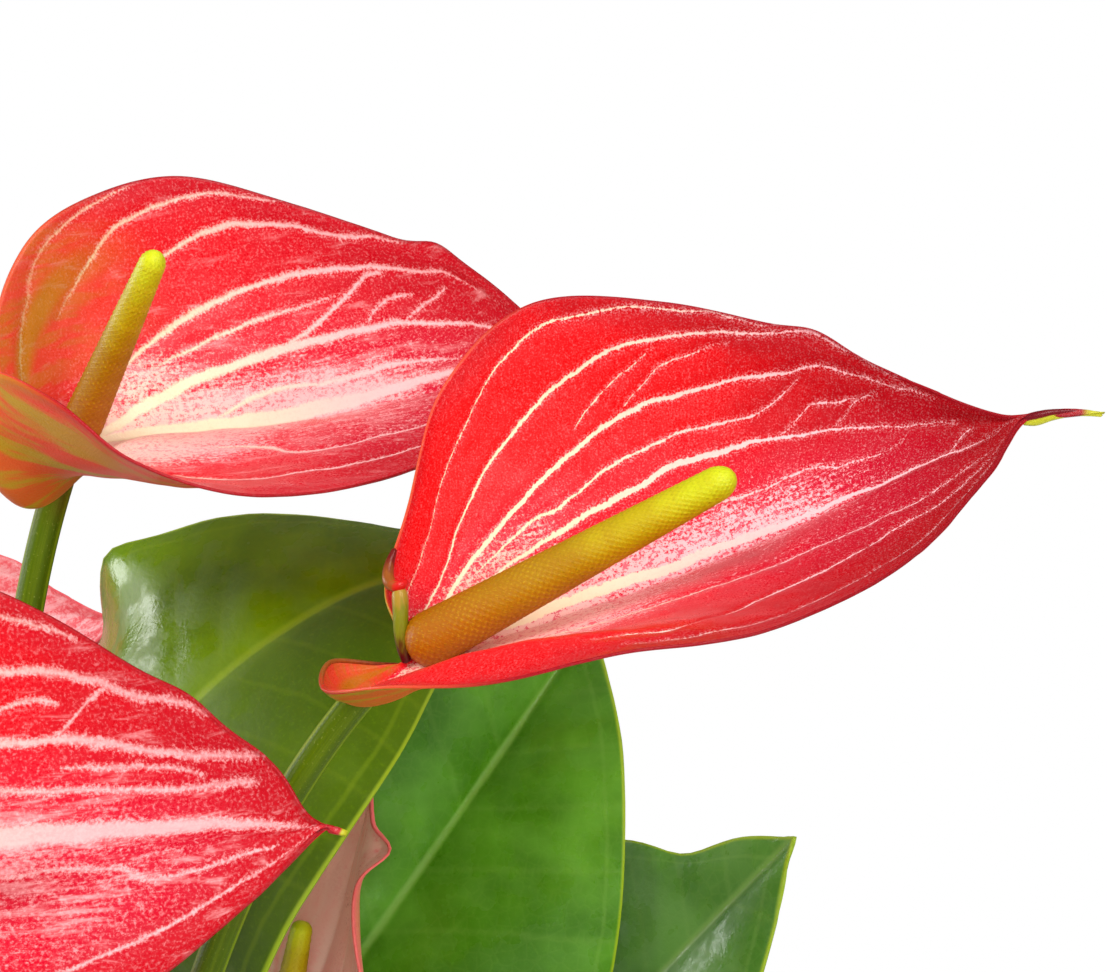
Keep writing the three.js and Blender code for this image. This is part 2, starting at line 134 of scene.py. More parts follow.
def newGrid(name, columns, rows, shape, **attributes):
    # a grid whose place (u, v), each from 0 to 1, goes to shape(u, v). Its UV map keeps (u, v).
    deselectAll()
    bpy.ops.mesh.primitive_grid_add(x_subdivisions=columns, y_subdivisions=rows, size=1)
    piece = bpy.context.object
    piece.name = name
    piece.data.name = name
    flat = readPoints(piece.data) + 0.5
    u, v = flat[:, 0], flat[:, 1]
    writePoints(piece.data, shape(u, v) * millimetre)
    for key, measure in attributes.items():
        attribute = piece.data.attributes.new(key, "FLOAT", "POINT")
        attribute.data.foreach_set("value", np.ascontiguousarray(measure(u, v), dtype=float))
    return piece


def mergeDoubles(piece):
    pick(piece)
    bpy.ops.object.mode_set(mode="EDIT")
    bpy.ops.mesh.select_all(action="SELECT")
    bpy.ops.mesh.remove_doubles(threshold=0.01 * millimetre)
    bpy.ops.object.mode_set(mode="OBJECT")


def applyModifier(piece, kind, name, **settings):
    pick(piece)
    modifier = piece.modifiers.new(name, kind)
    for key, value in settings.items():
        setattr(modifier, key, value)
    bpy.ops.object.modifier_apply(modifier=modifier.name)


def joined(name, pieces):
    pick(*pieces)
    if len(pieces) > 1:
        bpy.ops.object.join()
    pieces[0].name = name
    pieces[0].data.name = name
    return pieces[0]


def settle(piece, node, sharp=None):
    # the finished piece is smooth up to the sharp angle, and stands for its CAD node
    pick(piece)
    bpy.ops.object.shade_smooth()
    if sharp:
        bpy.ops.object.shade_smooth_by_angle(angle=math.radians(sharp))
    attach(piece, "root")
    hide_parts(node)


# Shader helpers

def colour(code):
    # a colour picked as a web code, in the linear values that shaders use
    shares = [int(code[k:k + 2], 16) / 255 for k in (0, 2, 4)]
    return (*[s / 12.92 if s <= 0.04045 else ((s + 0.055) / 1.055) ** 2.4 for s in shares], 1)


class Pattern:
    # a value, place or colour that varies over a surface. Patterns add and multiply like numbers.
    def __init__(self, socket):
        self.socket = socket
        self.tree = socket.id_data

    def math(self, operation, *others):
        return newPattern(self.tree, "ShaderNodeMath", dict(enumerate((self, *others))), operation=operation)

    def __add__(self, other):
        return self.math("ADD", other)

    def __sub__(self, other):
        return self.math("SUBTRACT", other)

    def __rsub__(self, other):
        return newPattern(self.tree, "ShaderNodeMath", {0: other, 1: self}, operation="SUBTRACT")

    def __mul__(self, other):
        return self.math("MULTIPLY", other)

    def __truediv__(self, other):
        return self.math("DIVIDE", other)

    def __abs__(self):
        return self.math("ABSOLUTE")


def put(socket, value):
    if isinstance(value, Pattern):
        value.tree.links.new(value.socket, socket)
    else:
        socket.default_value = value


def addNode(tree, kind, inputs, **settings):
    node = tree.nodes.new(kind)
    for key, value in settings.items():
        setattr(node, key, value)
    for key, value in inputs.items():
        put(node.inputs[key], value)
    return node


def newPattern(tree, kind, inputs, output=0, **settings):
    return Pattern(addNode(tree, kind, inputs, **settings).outputs[output])


def larger(first, second):
    return second.math("MAXIMUM", first)


def fade(value, low, high, first=0.0, last=1.0):
    ends = {"Value": value, "From Min": low, "From Max": high, "To Min": first, "To Max": last}
    return newPattern(value.tree, "ShaderNodeMapRange", ends, interpolation_type="SMOOTHSTEP")


def blend(share, first, second):
    return newPattern(share.tree, "ShaderNodeMix", {0: share, 6: first, 7: second}, 2, data_type="RGBA")


def speckle(place, scale, detail=2.0, roughness=0.5, distortion=0.0):
    inputs = {"Vector": place, "Scale": scale, "Detail": detail, "Roughness": roughness}
    return newPattern(place.tree, "ShaderNodeTexNoise", {**inputs, "Distortion": distortion})


def stretched(place, scale):
    return newPattern(place.tree, "ShaderNodeMapping", {"Vector": place, "Scale": scale})


def curveThrough(value, points):
    # points hold a place and a height, each from 0 to 1
    node = addNode(value.tree, "ShaderNodeFloatCurve", {"Value": value})
    curve = node.mapping.curves[0]
    curve.points[0].location = points[0]
    curve.points[-1].location = points[-1]
    for place, height in points[1:-1]:
        curve.points.new(place, height)
    node.mapping.update()
    return Pattern(node.outputs[0])


def attribute(tree, name):
    return newPattern(tree, "ShaderNodeAttribute", {}, "Fac", attribute_name=name)


def objectPlace(tree):
    # the object's own coordinates, in millimetres
    return stretched(newPattern(tree, "ShaderNodeTexCoord", {}, "Object"), (1000, 1000, 1000))


def surfacePlace(tree):
    # the UV map's u and v
    split = addNode(tree, "ShaderNodeSeparateXYZ", {0: newPattern(tree, "ShaderNodeTexCoord", {}, "UV")})
    return Pattern(split.outputs[0]), Pattern(split.outputs[1])


def newFinish(name, roughness, **constants):
    material = bpy.data.materials.new(name)
    material.use_nodes = True
    inputs = material.node_tree.nodes["Principled BSDF"].inputs
    for key, value in {"Roughness": roughness, **constants}.items():
        inputs[key.replace("_", " ")].default_value = value
    return material, material.node_tree


def painted(material, skin, height=None, millimetres=0.0, roughness=None):
    # gives a finish its colour, its low relief and, where it varies, its roughness
    tree = material.node_tree
    inputs = tree.nodes["Principled BSDF"].inputs
    put(inputs["Base Color"], skin)
    if height:
        relief = {"Height": height, "Distance": millimetres * millimetre, "Strength": 1.0}
        put(inputs["Normal"], newPattern(tree, "ShaderNodeBump", relief))
    if roughness:
        put(inputs["Roughness"], roughness)
    return material


# Spathes. Each line runs from the joint, over the tip (point 10), to the end of the drip tip.

openForm = {
    "midrib": [(0, 0, 0), (2, 0.5, 0.5), (4, 1, 0.5), (8, 2.5, 1.5), (15.5, 5, 3.5), (29, 7.5, 8),
               (47, 9, 14.5), (68, 8, 23.5), (85, 5.5, 32), (95.6, 3.8, 36.7), (101.8, 2.5, 40.3),
               (107.7, 2.3, 41.4), (115.1, 2.5, 41.1)],
    "upper": [(0, 0, 0), (-1, -1, 6), (-3, 0, 13), (0.5, 4, 26), (6, 8, 45.5), (20.5, 12, 59.6), (43, 13, 60),
              (66, 11, 54.4), (84.5, 7, 46.2), (95.7, 4.5, 41.6), (101.8, 2.7, 40.5), (107.7, 2.4, 41.6),
              (115.1, 2.5, 41.1)],
    "lower": [(0, 0, 0), (-3, -3, -0.5), (-12, -8, 1), (-9.5, -20, 0), (0, -32, 0.5), (15, -40, 0),
              (34.5, -42, 4), (56.5, -36, 7), (79, -20, 16.5), (94.2, -6, 30.1), (101.7, 1.8, 40),
              (107.6, 1.8, 40.3), (115.1, 2.5, 41.1)],
    "swell": [(0, 0, 0), (1.5, 1, 0), (3, 5, 0), (4, 5, 1), (5, 3, 2.5), (6, 2, 5), (6, 2, 2.5), (6, 2, 0.5),
              (4.5, 2, 0), (2, 1, 0), (0.3, 0.2, 0), (0, 0, 0), (0, 0, 0)],
    "waveAt": 0.62, "waveRise": 1.2,
    "foot": (0.5, -1, 2.6), "along": (0.87, -0.14, 0.475), "length": 63, "girth": 1,
    "stalkTurn": (0.73, 0, 0.68), "tuck": 6, "slim": 0,
}
cuppedForm = {
    "midrib": [(0, 0, 0), (1, 0.5, 0), (3.5, 1.5, -0.5), (8, 3, 0), (15, 6, 0.5), (26, 9, 1.5),
               (40.5, 11, 3.5), (56.5, 11, 7), (71, 10, 10), (80.1, 8, 11.9), (88.2, 6, 14), (90.8, 6, 14.6),
               (92.6, 6, 14.9)],
    "upper": [(0, 0, 0), (-2.5, 1, 1.5), (-10, -4, 5), (-13, -8, 19), (-8, -4, 34.5), (2, 3, 43.1),
              (17, 10, 47.5), (36.5, 14, 43), (54.5, 15, 37), (70.7, 12, 30), (88.2, 6.3, 14.2),
              (90.8, 6, 14.7), (92.6, 6, 14.9)],
    "lower": [(0, 0, 0), (-1.5, -5, -2.5), (-6.5, -12, -8), (-11, -25, -5.5), (-9.5, -37, 10), (2.5, -42, 6),
              (15.5, -42, -4), (32, -38, -9.5), (49.5, -27, -8.5), (66.4, -12, -2.3), (88.2, 5.5, 13.7),
              (90.8, 6, 14.4), (92.6, 6, 14.9)],
    "swell": [(0, 0, 0), (1.5, 1, 0), (3, 2, 0), (4, 8, 0), (5, 13, 0), (6, 11, 0), (6, 6.5, 0), (6, 2.5, 0),
              (5, 2, 0), (3, 1, 0), (0.3, 0.2, 0), (0, 0, 0), (0, 0, 0)],
    "waveAt": 0.71, "waveRise": 1.8,
    "foot": (0, -1, 1), "along": (0.4, -0.6, 0.69), "length": 46, "girth": 0.8,
    "stalkTurn": (0.35, 0, 0.93), "tuck": 1.2, "slim": 0.58,
}
frontForm = {
    **openForm,
    "waveAt": 0.592, "waveRise": 1.5,
    "lower": [(0, 0, 0), (-4, -3, 0.2), (-11.7, -7.2, 0.9), (-11.6, -17, -3.1), (-1.6, -30.5, -1.8),
              (15, -40, -0.6), (34.5, -42, 4), (56.5, -36, 7), (79, -20, 16.5), (94.2, -6, 30.1),
              (101.7, 1.8, 40), (107.6, 1.8, 40.3), (115.1, 2.5, 41.1)],
}
tipPoint = 10
frontTilt = -10

# Veins: how far along the midrib, how far across towards the margin (1 is the upper one, -1 the
# lower one), and the width there in millimetres.

frontVeins = [
    [(0, 0.5, 0), (0.12, 0.59, 0.08), (0.24, 0.67, 0.2), (0.34, 0.79, 0.34), (0.38, 0.87, 0.38),
     (0.45, 0.94, 0.4), (0.5, 0.98, 0.28), (0.56, 0.995, 0.1), (0.6, 1, 0)],
    [(0.1, 0.34, 0), (0.18, 0.38, 0.3), (0.275, 0.44, 0.6), (0.36, 0.6, 0.8), (0.43, 0.73, 0.8),
     (0.48, 0.85, 0.64), (0.52, 0.9, 0.48), (0.56, 0.955, 0.36), (0.6, 0.985, 0.28), (0.64, 0.98, 0.1),
     (0.66, 0.97, 0)],
    [(0, 0.22, 0), (0.15, 0.26, 0.5), (0.28, 0.31, 1), (0.34, 0.36, 1.1), (0.42, 0.48, 1), (0.48, 0.62, 0.88),
     (0.52, 0.68, 0.72), (0.555, 0.75, 0.56), (0.6, 0.84, 0.32), (0.635, 0.87, 0.2), (0.67, 0.9, 0.06),
     (0.69, 0.92, 0)],
    [(0.3, 0.26, 0), (0.34, 0.29, 0.32), (0.38, 0.33, 0.6), (0.417, 0.345, 0.64), (0.45, 0.42, 0.56),
     (0.5, 0.51, 0.48), (0.54, 0.55, 0.36), (0.557, 0.6, 0.32), (0.57, 0.68, 0.24), (0.585, 0.79, 0)],
    [(0.2, 0.16, 0), (0.3, 0.2, 0.48), (0.35, 0.23, 0.64), (0.43, 0.29, 1.04), (0.47, 0.34, 1.2),
     (0.5, 0.4, 1.12), (0.533, 0.43, 0.96), (0.567, 0.46, 0.64), (0.61, 0.48, 0.36), (0.66, 0.49, 0.14),
     (0.7, 0.57, 0.04), (0.72, 0.61, 0)],
    [(0.45, 0.2, 0), (0.517, 0.22, 0.3), (0.553, 0.23, 0.3), (0.58, 0.27, 0.25), (0.62, 0.24, 0.2),
     (0.66, 0.41, 0)],
    [(0, 0.05, 0.48), (0.2, 0.05, 0.96), (0.37, 0.05, 1.6), (0.48, 0.045, 1.92), (0.53, 0.04, 1.6),
     (0.57, 0.037, 1.2), (0.61, 0.03, 0.88), (0.655, 0.02, 0.64), (0.72, -0.005, 0.32), (0.8, -0.01, 0)],
    [(0.3, -0.2, 0), (0.4, -0.26, 0.4), (0.47, -0.3, 0.64), (0.5, -0.31, 0.64), (0.6, -0.29, 0.36),
     (0.7, -0.33, 0.14), (0.76, -0.35, 0)],
    [(0.47, -0.85, 0), (0.505, -0.85, 0.4), (0.525, -0.84, 0.56), (0.551, -0.66, 0.64), (0.583, -0.54, 0.72),
     (0.62, -0.5, 0.48), (0.66, -0.46, 0.3), (0.73, -0.52, 0.12), (0.78, -0.5, 0)],
    [(0.5, -0.92, 0), (0.55, -0.9, 0.28), (0.62, -0.8, 0.24), (0.67, -0.75, 0.16), (0.75, -0.72, 0.05),
     (0.78, -0.7, 0)],
    [(0.465, 0.6, 0), (0.479, 0.68, 0.28), (0.493, 0.76, 0.28), (0.509, 0.8, 0.24), (0.54, 0.89, 0)],
    [(0.43, 0.55, 0), (0.439, 0.6, 0.28), (0.457, 0.68, 0.28), (0.477, 0.77, 0.24), (0.495, 0.85, 0)],
    [(0.56, 0.45, 0), (0.575, 0.52, 0.24), (0.591, 0.63, 0.24), (0.611, 0.67, 0.2), (0.64, 0.75, 0)],
    [(0.6, 0.47, 0), (0.613, 0.58, 0.16), (0.621, 0.68, 0.16), (0.64, 0.8, 0)],
    [(0.698, 0, 0), (0.705, 0.08, 0.16), (0.727, 0.38, 0.16), (0.74, 0.5, 0)],
]
cuppedVeins = [
    [(0.2, 0.8, 0), (0.26, 0.83, 0.2), (0.32, 0.92, 0.2), (0.41, 0.97, 0.2), (0.46, 1, 0)],
    [(0.3, 0.7, 0), (0.36, 0.77, 0.3), (0.42, 0.86, 0.45), (0.48, 0.91, 0.5), (0.55, 0.97, 0.4),
     (0.58, 1, 0)],
    [(0.4, 0.66, 0), (0.455, 0.72, 0.7), (0.495, 0.78, 0.9), (0.56, 0.86, 0.9), (0.61, 0.89, 0.7),
     (0.66, 0.97, 0.3), (0.69, 1, 0)],
    [(0.3, 0.3, 0), (0.36, 0.38, 0.8), (0.43, 0.47, 1), (0.49, 0.53, 1), (0.55, 0.62, 1), (0.61, 0.71, 0.9),
     (0.68, 0.8, 0.6), (0.75, 0.8, 0)],
    [(0.37, 0.3, 0), (0.44, 0.37, 0.6), (0.51, 0.43, 0.6), (0.58, 0.54, 0)],
    [(0.49, 0.28, 0), (0.52, 0.32, 0.6), (0.58, 0.51, 0.7), (0.62, 0.68, 0.6), (0.64, 0.73, 0)],
    [(0.15, 0.05, 0), (0.2, 0.075, 1), (0.29, 0.13, 2.1), (0.4, 0.22, 2), (0.49, 0.28, 1.7),
     (0.56, 0.34, 1.3), (0.62, 0.4, 1), (0.71, 0.43, 0.6), (0.8, 0.43, 0)],
    [(0.41, 0.06, 0), (0.46, 0.12, 0.9), (0.5, 0.14, 0.9), (0.55, 0.14, 0.9), (0.6, 0.18, 0.8),
     (0.67, 0.18, 0)],
    [(0.59, 0.38, 0), (0.61, 0.48, 0.4), (0.635, 0.57, 0.4), (0.66, 0.62, 0)],
    [(0.63, 0.42, 0), (0.665, 0.57, 0.4), (0.7, 0.71, 0)],
    [(0.05, 0.01, 1), (0.3, 0.02, 3), (0.45, 0.03, 3.5), (0.55, 0.05, 2.5), (0.63, 0.09, 1.5),
     (0.75, 0.1, 0)],
    [(0.45, -0.29, 0), (0.5, -0.31, 0.8), (0.57, -0.42, 0.9), (0.62, -0.37, 0.8), (0.68, -0.3, 0)],
    [(0.45, -0.53, 0), (0.5, -0.59, 0.8), (0.56, -0.66, 0.9), (0.62, -0.62, 0.9), (0.67, -0.55, 0.6),
     (0.71, -0.55, 0)],
]
sideVeins = [
    [(0.48, 0.91, 0), (0.51, 0.93, 0.4), (0.53, 0.96, 0.4), (0.55, 0.98, 0)],
    [(0.2, 0.4, 0), (0.3, 0.48, 0.8), (0.42, 0.6, 1), (0.505, 0.73, 1.1), (0.55, 0.83, 1), (0.583, 0.86, 0.8),
     (0.607, 0.92, 0.6), (0.639, 1, 0)],
    [(0.15, 0.24, 0), (0.25, 0.3, 0.8), (0.4, 0.4, 1.1), (0.513, 0.48, 1.2), (0.56, 0.57, 1.1),
     (0.605, 0.62, 0.9), (0.66, 0.82, 0.6), (0.693, 1, 0)],
    [(0.53, 0.5, 0), (0.545, 0.57, 0.6), (0.56, 0.76, 0.7), (0.575, 0.89, 0)],
    [(0.5, 0.55, 0), (0.515, 0.62, 0.5), (0.53, 0.67, 0.5), (0.545, 0.69, 0)],
    [(0.55, 0.43, 0), (0.575, 0.47, 0.4), (0.61, 0.54, 0.4), (0.65, 0.62, 0)],
    [(0.35, 0.2, 0), (0.45, 0.27, 0.6), (0.52, 0.31, 0.6), (0.56, 0.34, 0.6), (0.62, 0.42, 0.6),
     (0.66, 0.57, 0.5), (0.7, 0.77, 0)],
    [(0, 0.05, 1), (0.3, 0.08, 2.6), (0.52, 0.14, 3.2), (0.6, 0.165, 2.4), (0.69, 0.23, 1.4),
     (0.75, 0.3, 0.6), (0.82, 0.2, 0)],
    [(0.5, -0.03, 0), (0.6, -0.03, 0.5), (0.65, -0.15, 0.5), (0.7, -0.13, 0.5), (0.76, -0.15, 0)],
    [(0.35, -0.45, 0), (0.5, -0.55, 0.8), (0.6, -0.5, 0.8), (0.7, -0.45, 0.5), (0.8, -0.4, 0)],
]


def spathePlace(bloom, u, a):
    # where (u, a) of a bloom's spathe is, in the bloom's own axes
    form = bloom["form"]
    lines = {}
    for key in ("midrib", "upper", "lower"):
        points = np.array(form[key], float)
        points[tipPoint + 1:] = points[tipPoint] + (points[tipPoint + 1:] - points[tipPoint]) * bloom["drip"]
        lines[key] = smoothLine(points, u)
    back, sag, fold = smoothLine(form["swell"], u).T
    reach = np.abs(a)
    above = a > 0
    edge = np.where(above[:, None], lines["upper"], lines["lower"])
    across = (edge - lines["midrib"]) * reach[:, None]
    wave = form["waveRise"] * reach**4 * np.exp(-((u - form["waveAt"]) / 0.022) ** 2)
    fold = fold * smoothStep(reach, 0.45, 0.8) * (1 - smoothStep(reach, 0.8, 1))
    across[:, 1] += np.where(above, back * np.sin(np.pi * reach), 0)
    across[:, 2] += np.where(above, wave, fold - sag * np.sin(np.pi * reach**1.6))
    opening = bloom["opening"] + bloom["twist"] * smoothStep(u, 0.5, 0.68)[:, None]
    across = np.where(above[:, None], across, turned(across, (1, 0, 0), opening))
    return (lines["midrib"] + across) * bloom["scale"]


def nudged(piece, points, u, a):
    # small kinks of the margin on one side, each with its place, its length and its push
    for place, length, push in piece["nudges"]:
        share = np.exp(-((u - place) / length) ** 2) * smoothStep(a * piece["side"], 0.4, 1)
        points = points + share[:, None] * np.array(push)
    return points


def spatheSpan(bloom, u, a):
    # the distance from midrib to margin in millimetres
    middle = spathePlace(bloom, u, np.zeros_like(u))
    upper = np.linalg.norm(spathePlace(bloom, u, np.ones_like(u)) - middle, axis=1)
    lower = np.linalg.norm(spathePlace(bloom, u, -np.ones_like(u)) - middle, axis=1)
    above = smoothStep(a, -0.15, 0.15)
    return upper * above + lower * (1 - above)


def placed(bloom, points):
    # from a bloom's own axes to the plant's
    return turned(turned(points, (0, 1, 0), bloom["spin"]), (1, 0, 0), frontTilt) + np.array(bloom["at"])


def veinDepth(veins, u, a, span):
    # how deep inside a vein each place is, in millimetres
    depth = np.full(len(u), -99.0)
    for vein in veins:
        distance = np.abs(a - readThrough(vein, u)) * span
        width = readThrough(vein, u, 2)
        inside = (u > vein[0][0]) & (u < vein[-1][0])
        depth = np.maximum(depth, np.where(inside, width / 2 - distance, -99))
    return depth


plainBloom = {
    "spin": 0, "opening": 0, "twist": 0, "scale": 1, "drip": 1, "nudges": [], "side": 1, "reach": (0.3, 0.3),
    "floor": 1, "beside": 0.75, "softness": 0, "pallor": 0, "paint": {},
}
blooms = {
    1: {"form": frontForm, "at": (45, -15, 330),
        "root": (1, 0), "veins": frontVeins, "grid": (230, 180), "florets": 19, "fineness": (133, 250)},
    2: {"form": cuppedForm, "at": (-14.8, 30.9, 359.8), "softness": 0.5, "pallor": 0.08,
        "root": (1, 75), "veins": cuppedVeins, "grid": (160, 120), "florets": 15, "fineness": (90, 150),
        "paint": {"red": "ea0c14", "crimson": "c40e1c", "tip": "b80e1c", "edge": "9c1018", "pink": "fbc2c0",
                  "blush": "ffe6cc"}},
    3: {"form": openForm, "at": (-75.2, -52.8, 303), "spin": 16.5, "opening": 32, "drip": 0.3,
        "floor": 0.25, "beside": 0.5, "nudges": [(0.69, 0.075, (2.7, 0, 2.7))],
        "root": (2, -165), "reach": (0.5, 0.3), "stalkTurn": (0.35, 0, 0.94), "veins": sideVeins,
        "grid": (160, 120), "florets": 16, "fineness": (96, 160), "softness": 0.85, "pallor": 0.06,
        "paint": {"red": "e60c16", "crimson": "c00c1a", "tip": "b80c18", "edge": "a01018", "cream": "fbd6c0",
                  "pink": "f6b4b4"}},
    4: {"form": openForm, "at": (-102.7, 97.3, 287), "spin": 5, "scale": 0.8, "drip": 0.3,
        "root": (0, -150), "reach": (0.5, 0.3), "stalkTurn": (0.35, 0, 0.94), "veins": frontVeins,
        "grid": (110, 84), "florets": 14, "fineness": (70, 110), "softness": 1, "pallor": 0.42,
        "paint": {"red": "f8696c", "crimson": "ee4c56", "magenta": "f88890", "tip": "d42a38",
                  "edge": "e05058"}},
    5: {"form": openForm, "at": (18.3, 36.8, 239.3), "spin": -50, "opening": 20, "scale": 0.5, "drip": 0.2,
        "twist": -40, "nudges": [(0.705, 0.03, (4.6, 0, 0))], "side": -1,
        "root": (0, -30), "reach": (0.35, 0.15), "veins": frontVeins, "grid": (90, 64), "florets": 12,
        "fineness": (60, 80), "softness": 1, "pallor": 0.7,
        "paint": {"red": "ffa090", "crimson": "f86a6c", "magenta": "ffa49c", "tip": "f04048",
                  "edge": "f04c4c", "pink": "ffbcae", "blush": "ffc4b2", "cream": "ffdccc"}},
}
blooms = {number: {**plainBloom, **bloom} for number, bloom in blooms.items()}


def stepLengths(points):
    return np.linalg.norm(np.diff(points, axis=0), axis=1)


def thinMargin(piece):
    # the sheet thins out towards its margin, in a few steps
    thin = piece.vertex_groups.new(name="thin")
    inwards = 1 - np.abs(pointPlaces(piece.data)[1])
    first, *others = spatheSheet["shares"]
    for share in (first, *others):
        chosen = np.nonzero(inwards >= (share - first) / spatheSheet["slope"])[0]
        thin.add([int(k) for k in chosen], share, "REPLACE")


spatheSheet = {"thickness": 0.9, "shares": (0.55, 0.7, 0.85, 1.0), "slope": 4.5}


def makeSpathe(number, bloom, finishes):
    steps = np.linspace(0, 1, 400)
    lengths = [stepLengths(spathePlace(bloom, steps, np.full(400, a))) for a in (-0.6, 0, 0.6)]
    travelled = np.concatenate([[0], np.cumsum(np.mean(lengths, axis=0))])

    def evenly(share):
        # the u of a share of the spathe's length, so that the grid's rows stand evenly
        return np.interp(share * travelled[-1], travelled, steps)

    def shape(u, v):
        u, a = evenly(u), acrossFrom(v)
        return nudged(bloom, placed(bloom, spathePlace(bloom, u, a)), u, a)

    piece = newGrid(f"bloom{number}_spathe", *bloom["grid"], shape,
                    span=lambda u, v: spatheSpan(bloom, evenly(u), acrossFrom(v)),
                    pale=lambda u, v: paleShare(bloom, evenly(u), acrossFrom(v)),
                    warm=lambda u, v: warmShare(bloom, evenly(u), acrossFrom(v)))
    mesh = piece.data
    uv = readUv(mesh)
    uv[:, 0] = evenly(uv[:, 0])
    mesh.uv_layers.active.data.foreach_set("uv", uv.ravel())
    mergeDoubles(piece)
    relieve(piece, bloom)
    thinMargin(piece)
    for finish in finishes["faces"]:
        mesh.materials.append(finish)
    applyModifier(piece, "SOLIDIFY", "thickness", thickness=spatheSheet["thickness"] * millimetre, offset=0,
                  use_rim=True, material_offset=1, vertex_group="thin", use_even_offset=False)
    parts = [piece, newLip(bloom, lips["lower"], finishes["curl"])]
    if bloom["form"] is cuppedForm:
        parts.append(newLip(bloom, lips["upper"], finishes["strip"]))
    else:
        parts += [newRoll(bloom, roll, finishes[key]) for key, roll in rolls.items()]
    if bloom["form"] is frontForm:
        parts.append(newDripTip(bloom, finishes["drip"]))
    piece = joined(piece.name, parts)
    settle(piece, f"spathe_{number}")
    return piece


lips = {
    "lower": {"reach": 0.34, "across": -0.99, "radius": 0.42},
    "upper": {"reach": 0.17, "across": 0.95, "radius": 1.0},
}


def newLip(bloom, lip, finish):
    # the margin of a lobe rolls over into a soft lip
    def line(t):
        u, a = lip["reach"] * (0.03 + 0.97 * t), np.full(len(t), lip["across"])
        return placed(bloom, spathePlace(bloom, u, a))

    def radius(t, angle):
        return bloom["scale"] * lip["radius"] * (0.3 + 0.7 * np.sin(np.pi * np.clip(t * 0.95, 0, 1)) ** 0.7)

    piece = newTube("lip", line, radius, 48, 14, beside=(0.3, 0.2, 1.0))
    piece.data.materials.append(finish)
    return piece


# The upper lobe beside the joint: a thick olive strip, and above it the margin curled forward
rolls = {
    "strip": {"middle": [(0.6, -1.6, 0.2), (0, -2.2, 2.6), (-0.35, -2.5, 5.6), (-0.4, -2.5, 8.6),
                         (-0.5, -2.3, 11), (-0.8, -2.1, 12.6)],
              "radius": [0.7, 1.05, 1.2, 1.3, 1.35, 1.0], "beside": (0.0, 1.0, 0.0)},
    "curl": {"middle": [(-1.4, 0.2, 19), (-2.3, -0.4, 16.4), (-2.5, -1.3, 14.2), (-1.8, -2.3, 13),
                        (-0.5, -2.6, 12.9), (0.7, -1.9, 13.6)],
             "radius": [0.4, 0.8, 1.0, 1.05, 0.95, 0.5], "beside": (0.0, 1.0, 0.0)},
}


def newRoll(bloom, roll, finish):
    def line(t):
        return placed(bloom, smoothLine(roll["middle"], t) * bloom["scale"])

    def radius(t, angle):
        return smoothLine(np.array(roll["radius"])[:, None], t)[:, 0] * bloom["scale"]

    piece = newTube("roll", line, radius, 40, 20, roll["beside"])
    piece.data.materials.append(finish)
    return piece


dripTip = {
    "middle": [(101.4, 2.4, 39.6), (103.6, 2, 40.1), (106.5, 2, 40.8), (109.8, 2.2, 41.1), (112.6, 2.4, 41),
               (114.8, 2.5, 40.7)],
    "height": [0.55, 1.15, 0.95, 0.62, 0.45, 0.3],
    "depth": 0.55,
}


def newDripTip(bloom, finish):
    # the rolled end of the tip, tall where it leaves the blade
    def line(t):
        return placed(bloom, smoothLine(dripTip["middle"], t))

    def radius(t, angle):
        tall = smoothLine(np.array(dripTip["height"])[:, None], t)[:, 0]
        return tall * np.sqrt(np.sin(angle) ** 2 + (dripTip["depth"] * np.cos(angle)) ** 2)

    tip = newTube("tip", line, radius, 40, 20, beside=(0.0, 0.0, 1.0))
    tip.data.materials.append(finish)
    return tip


def relieve(piece, bloom):
    # sunken veins, puckered skin between them and a slightly uneven margin
    u, a = pointPlaces(piece.data)
    span = spatheSpan(bloom, u, a)
    points = readPoints(piece.data) / millimetre
    depth = veinDepth(bloom["veins"], u, a, span)
    groove = -0.28 * np.exp(-(np.minimum(depth, 0) / 1.3) ** 2)
    pucker = 0.3 * lumps(points, 9, 1) + 0.12 * lumps(points, 3.5, 2)
    quiet = np.minimum(u / 0.2, 1) * np.minimum((0.85 - u) / 0.1, 1)
    quiet *= np.minimum((1 - np.abs(a)) / 0.08 + 0.25, 1)
    pushOut(piece.data, (groove + pucker) * np.clip(quiet, 0, 1) * bloom["scale"])


# Spadices: a tapering club of diamond florets, each with four small lobes

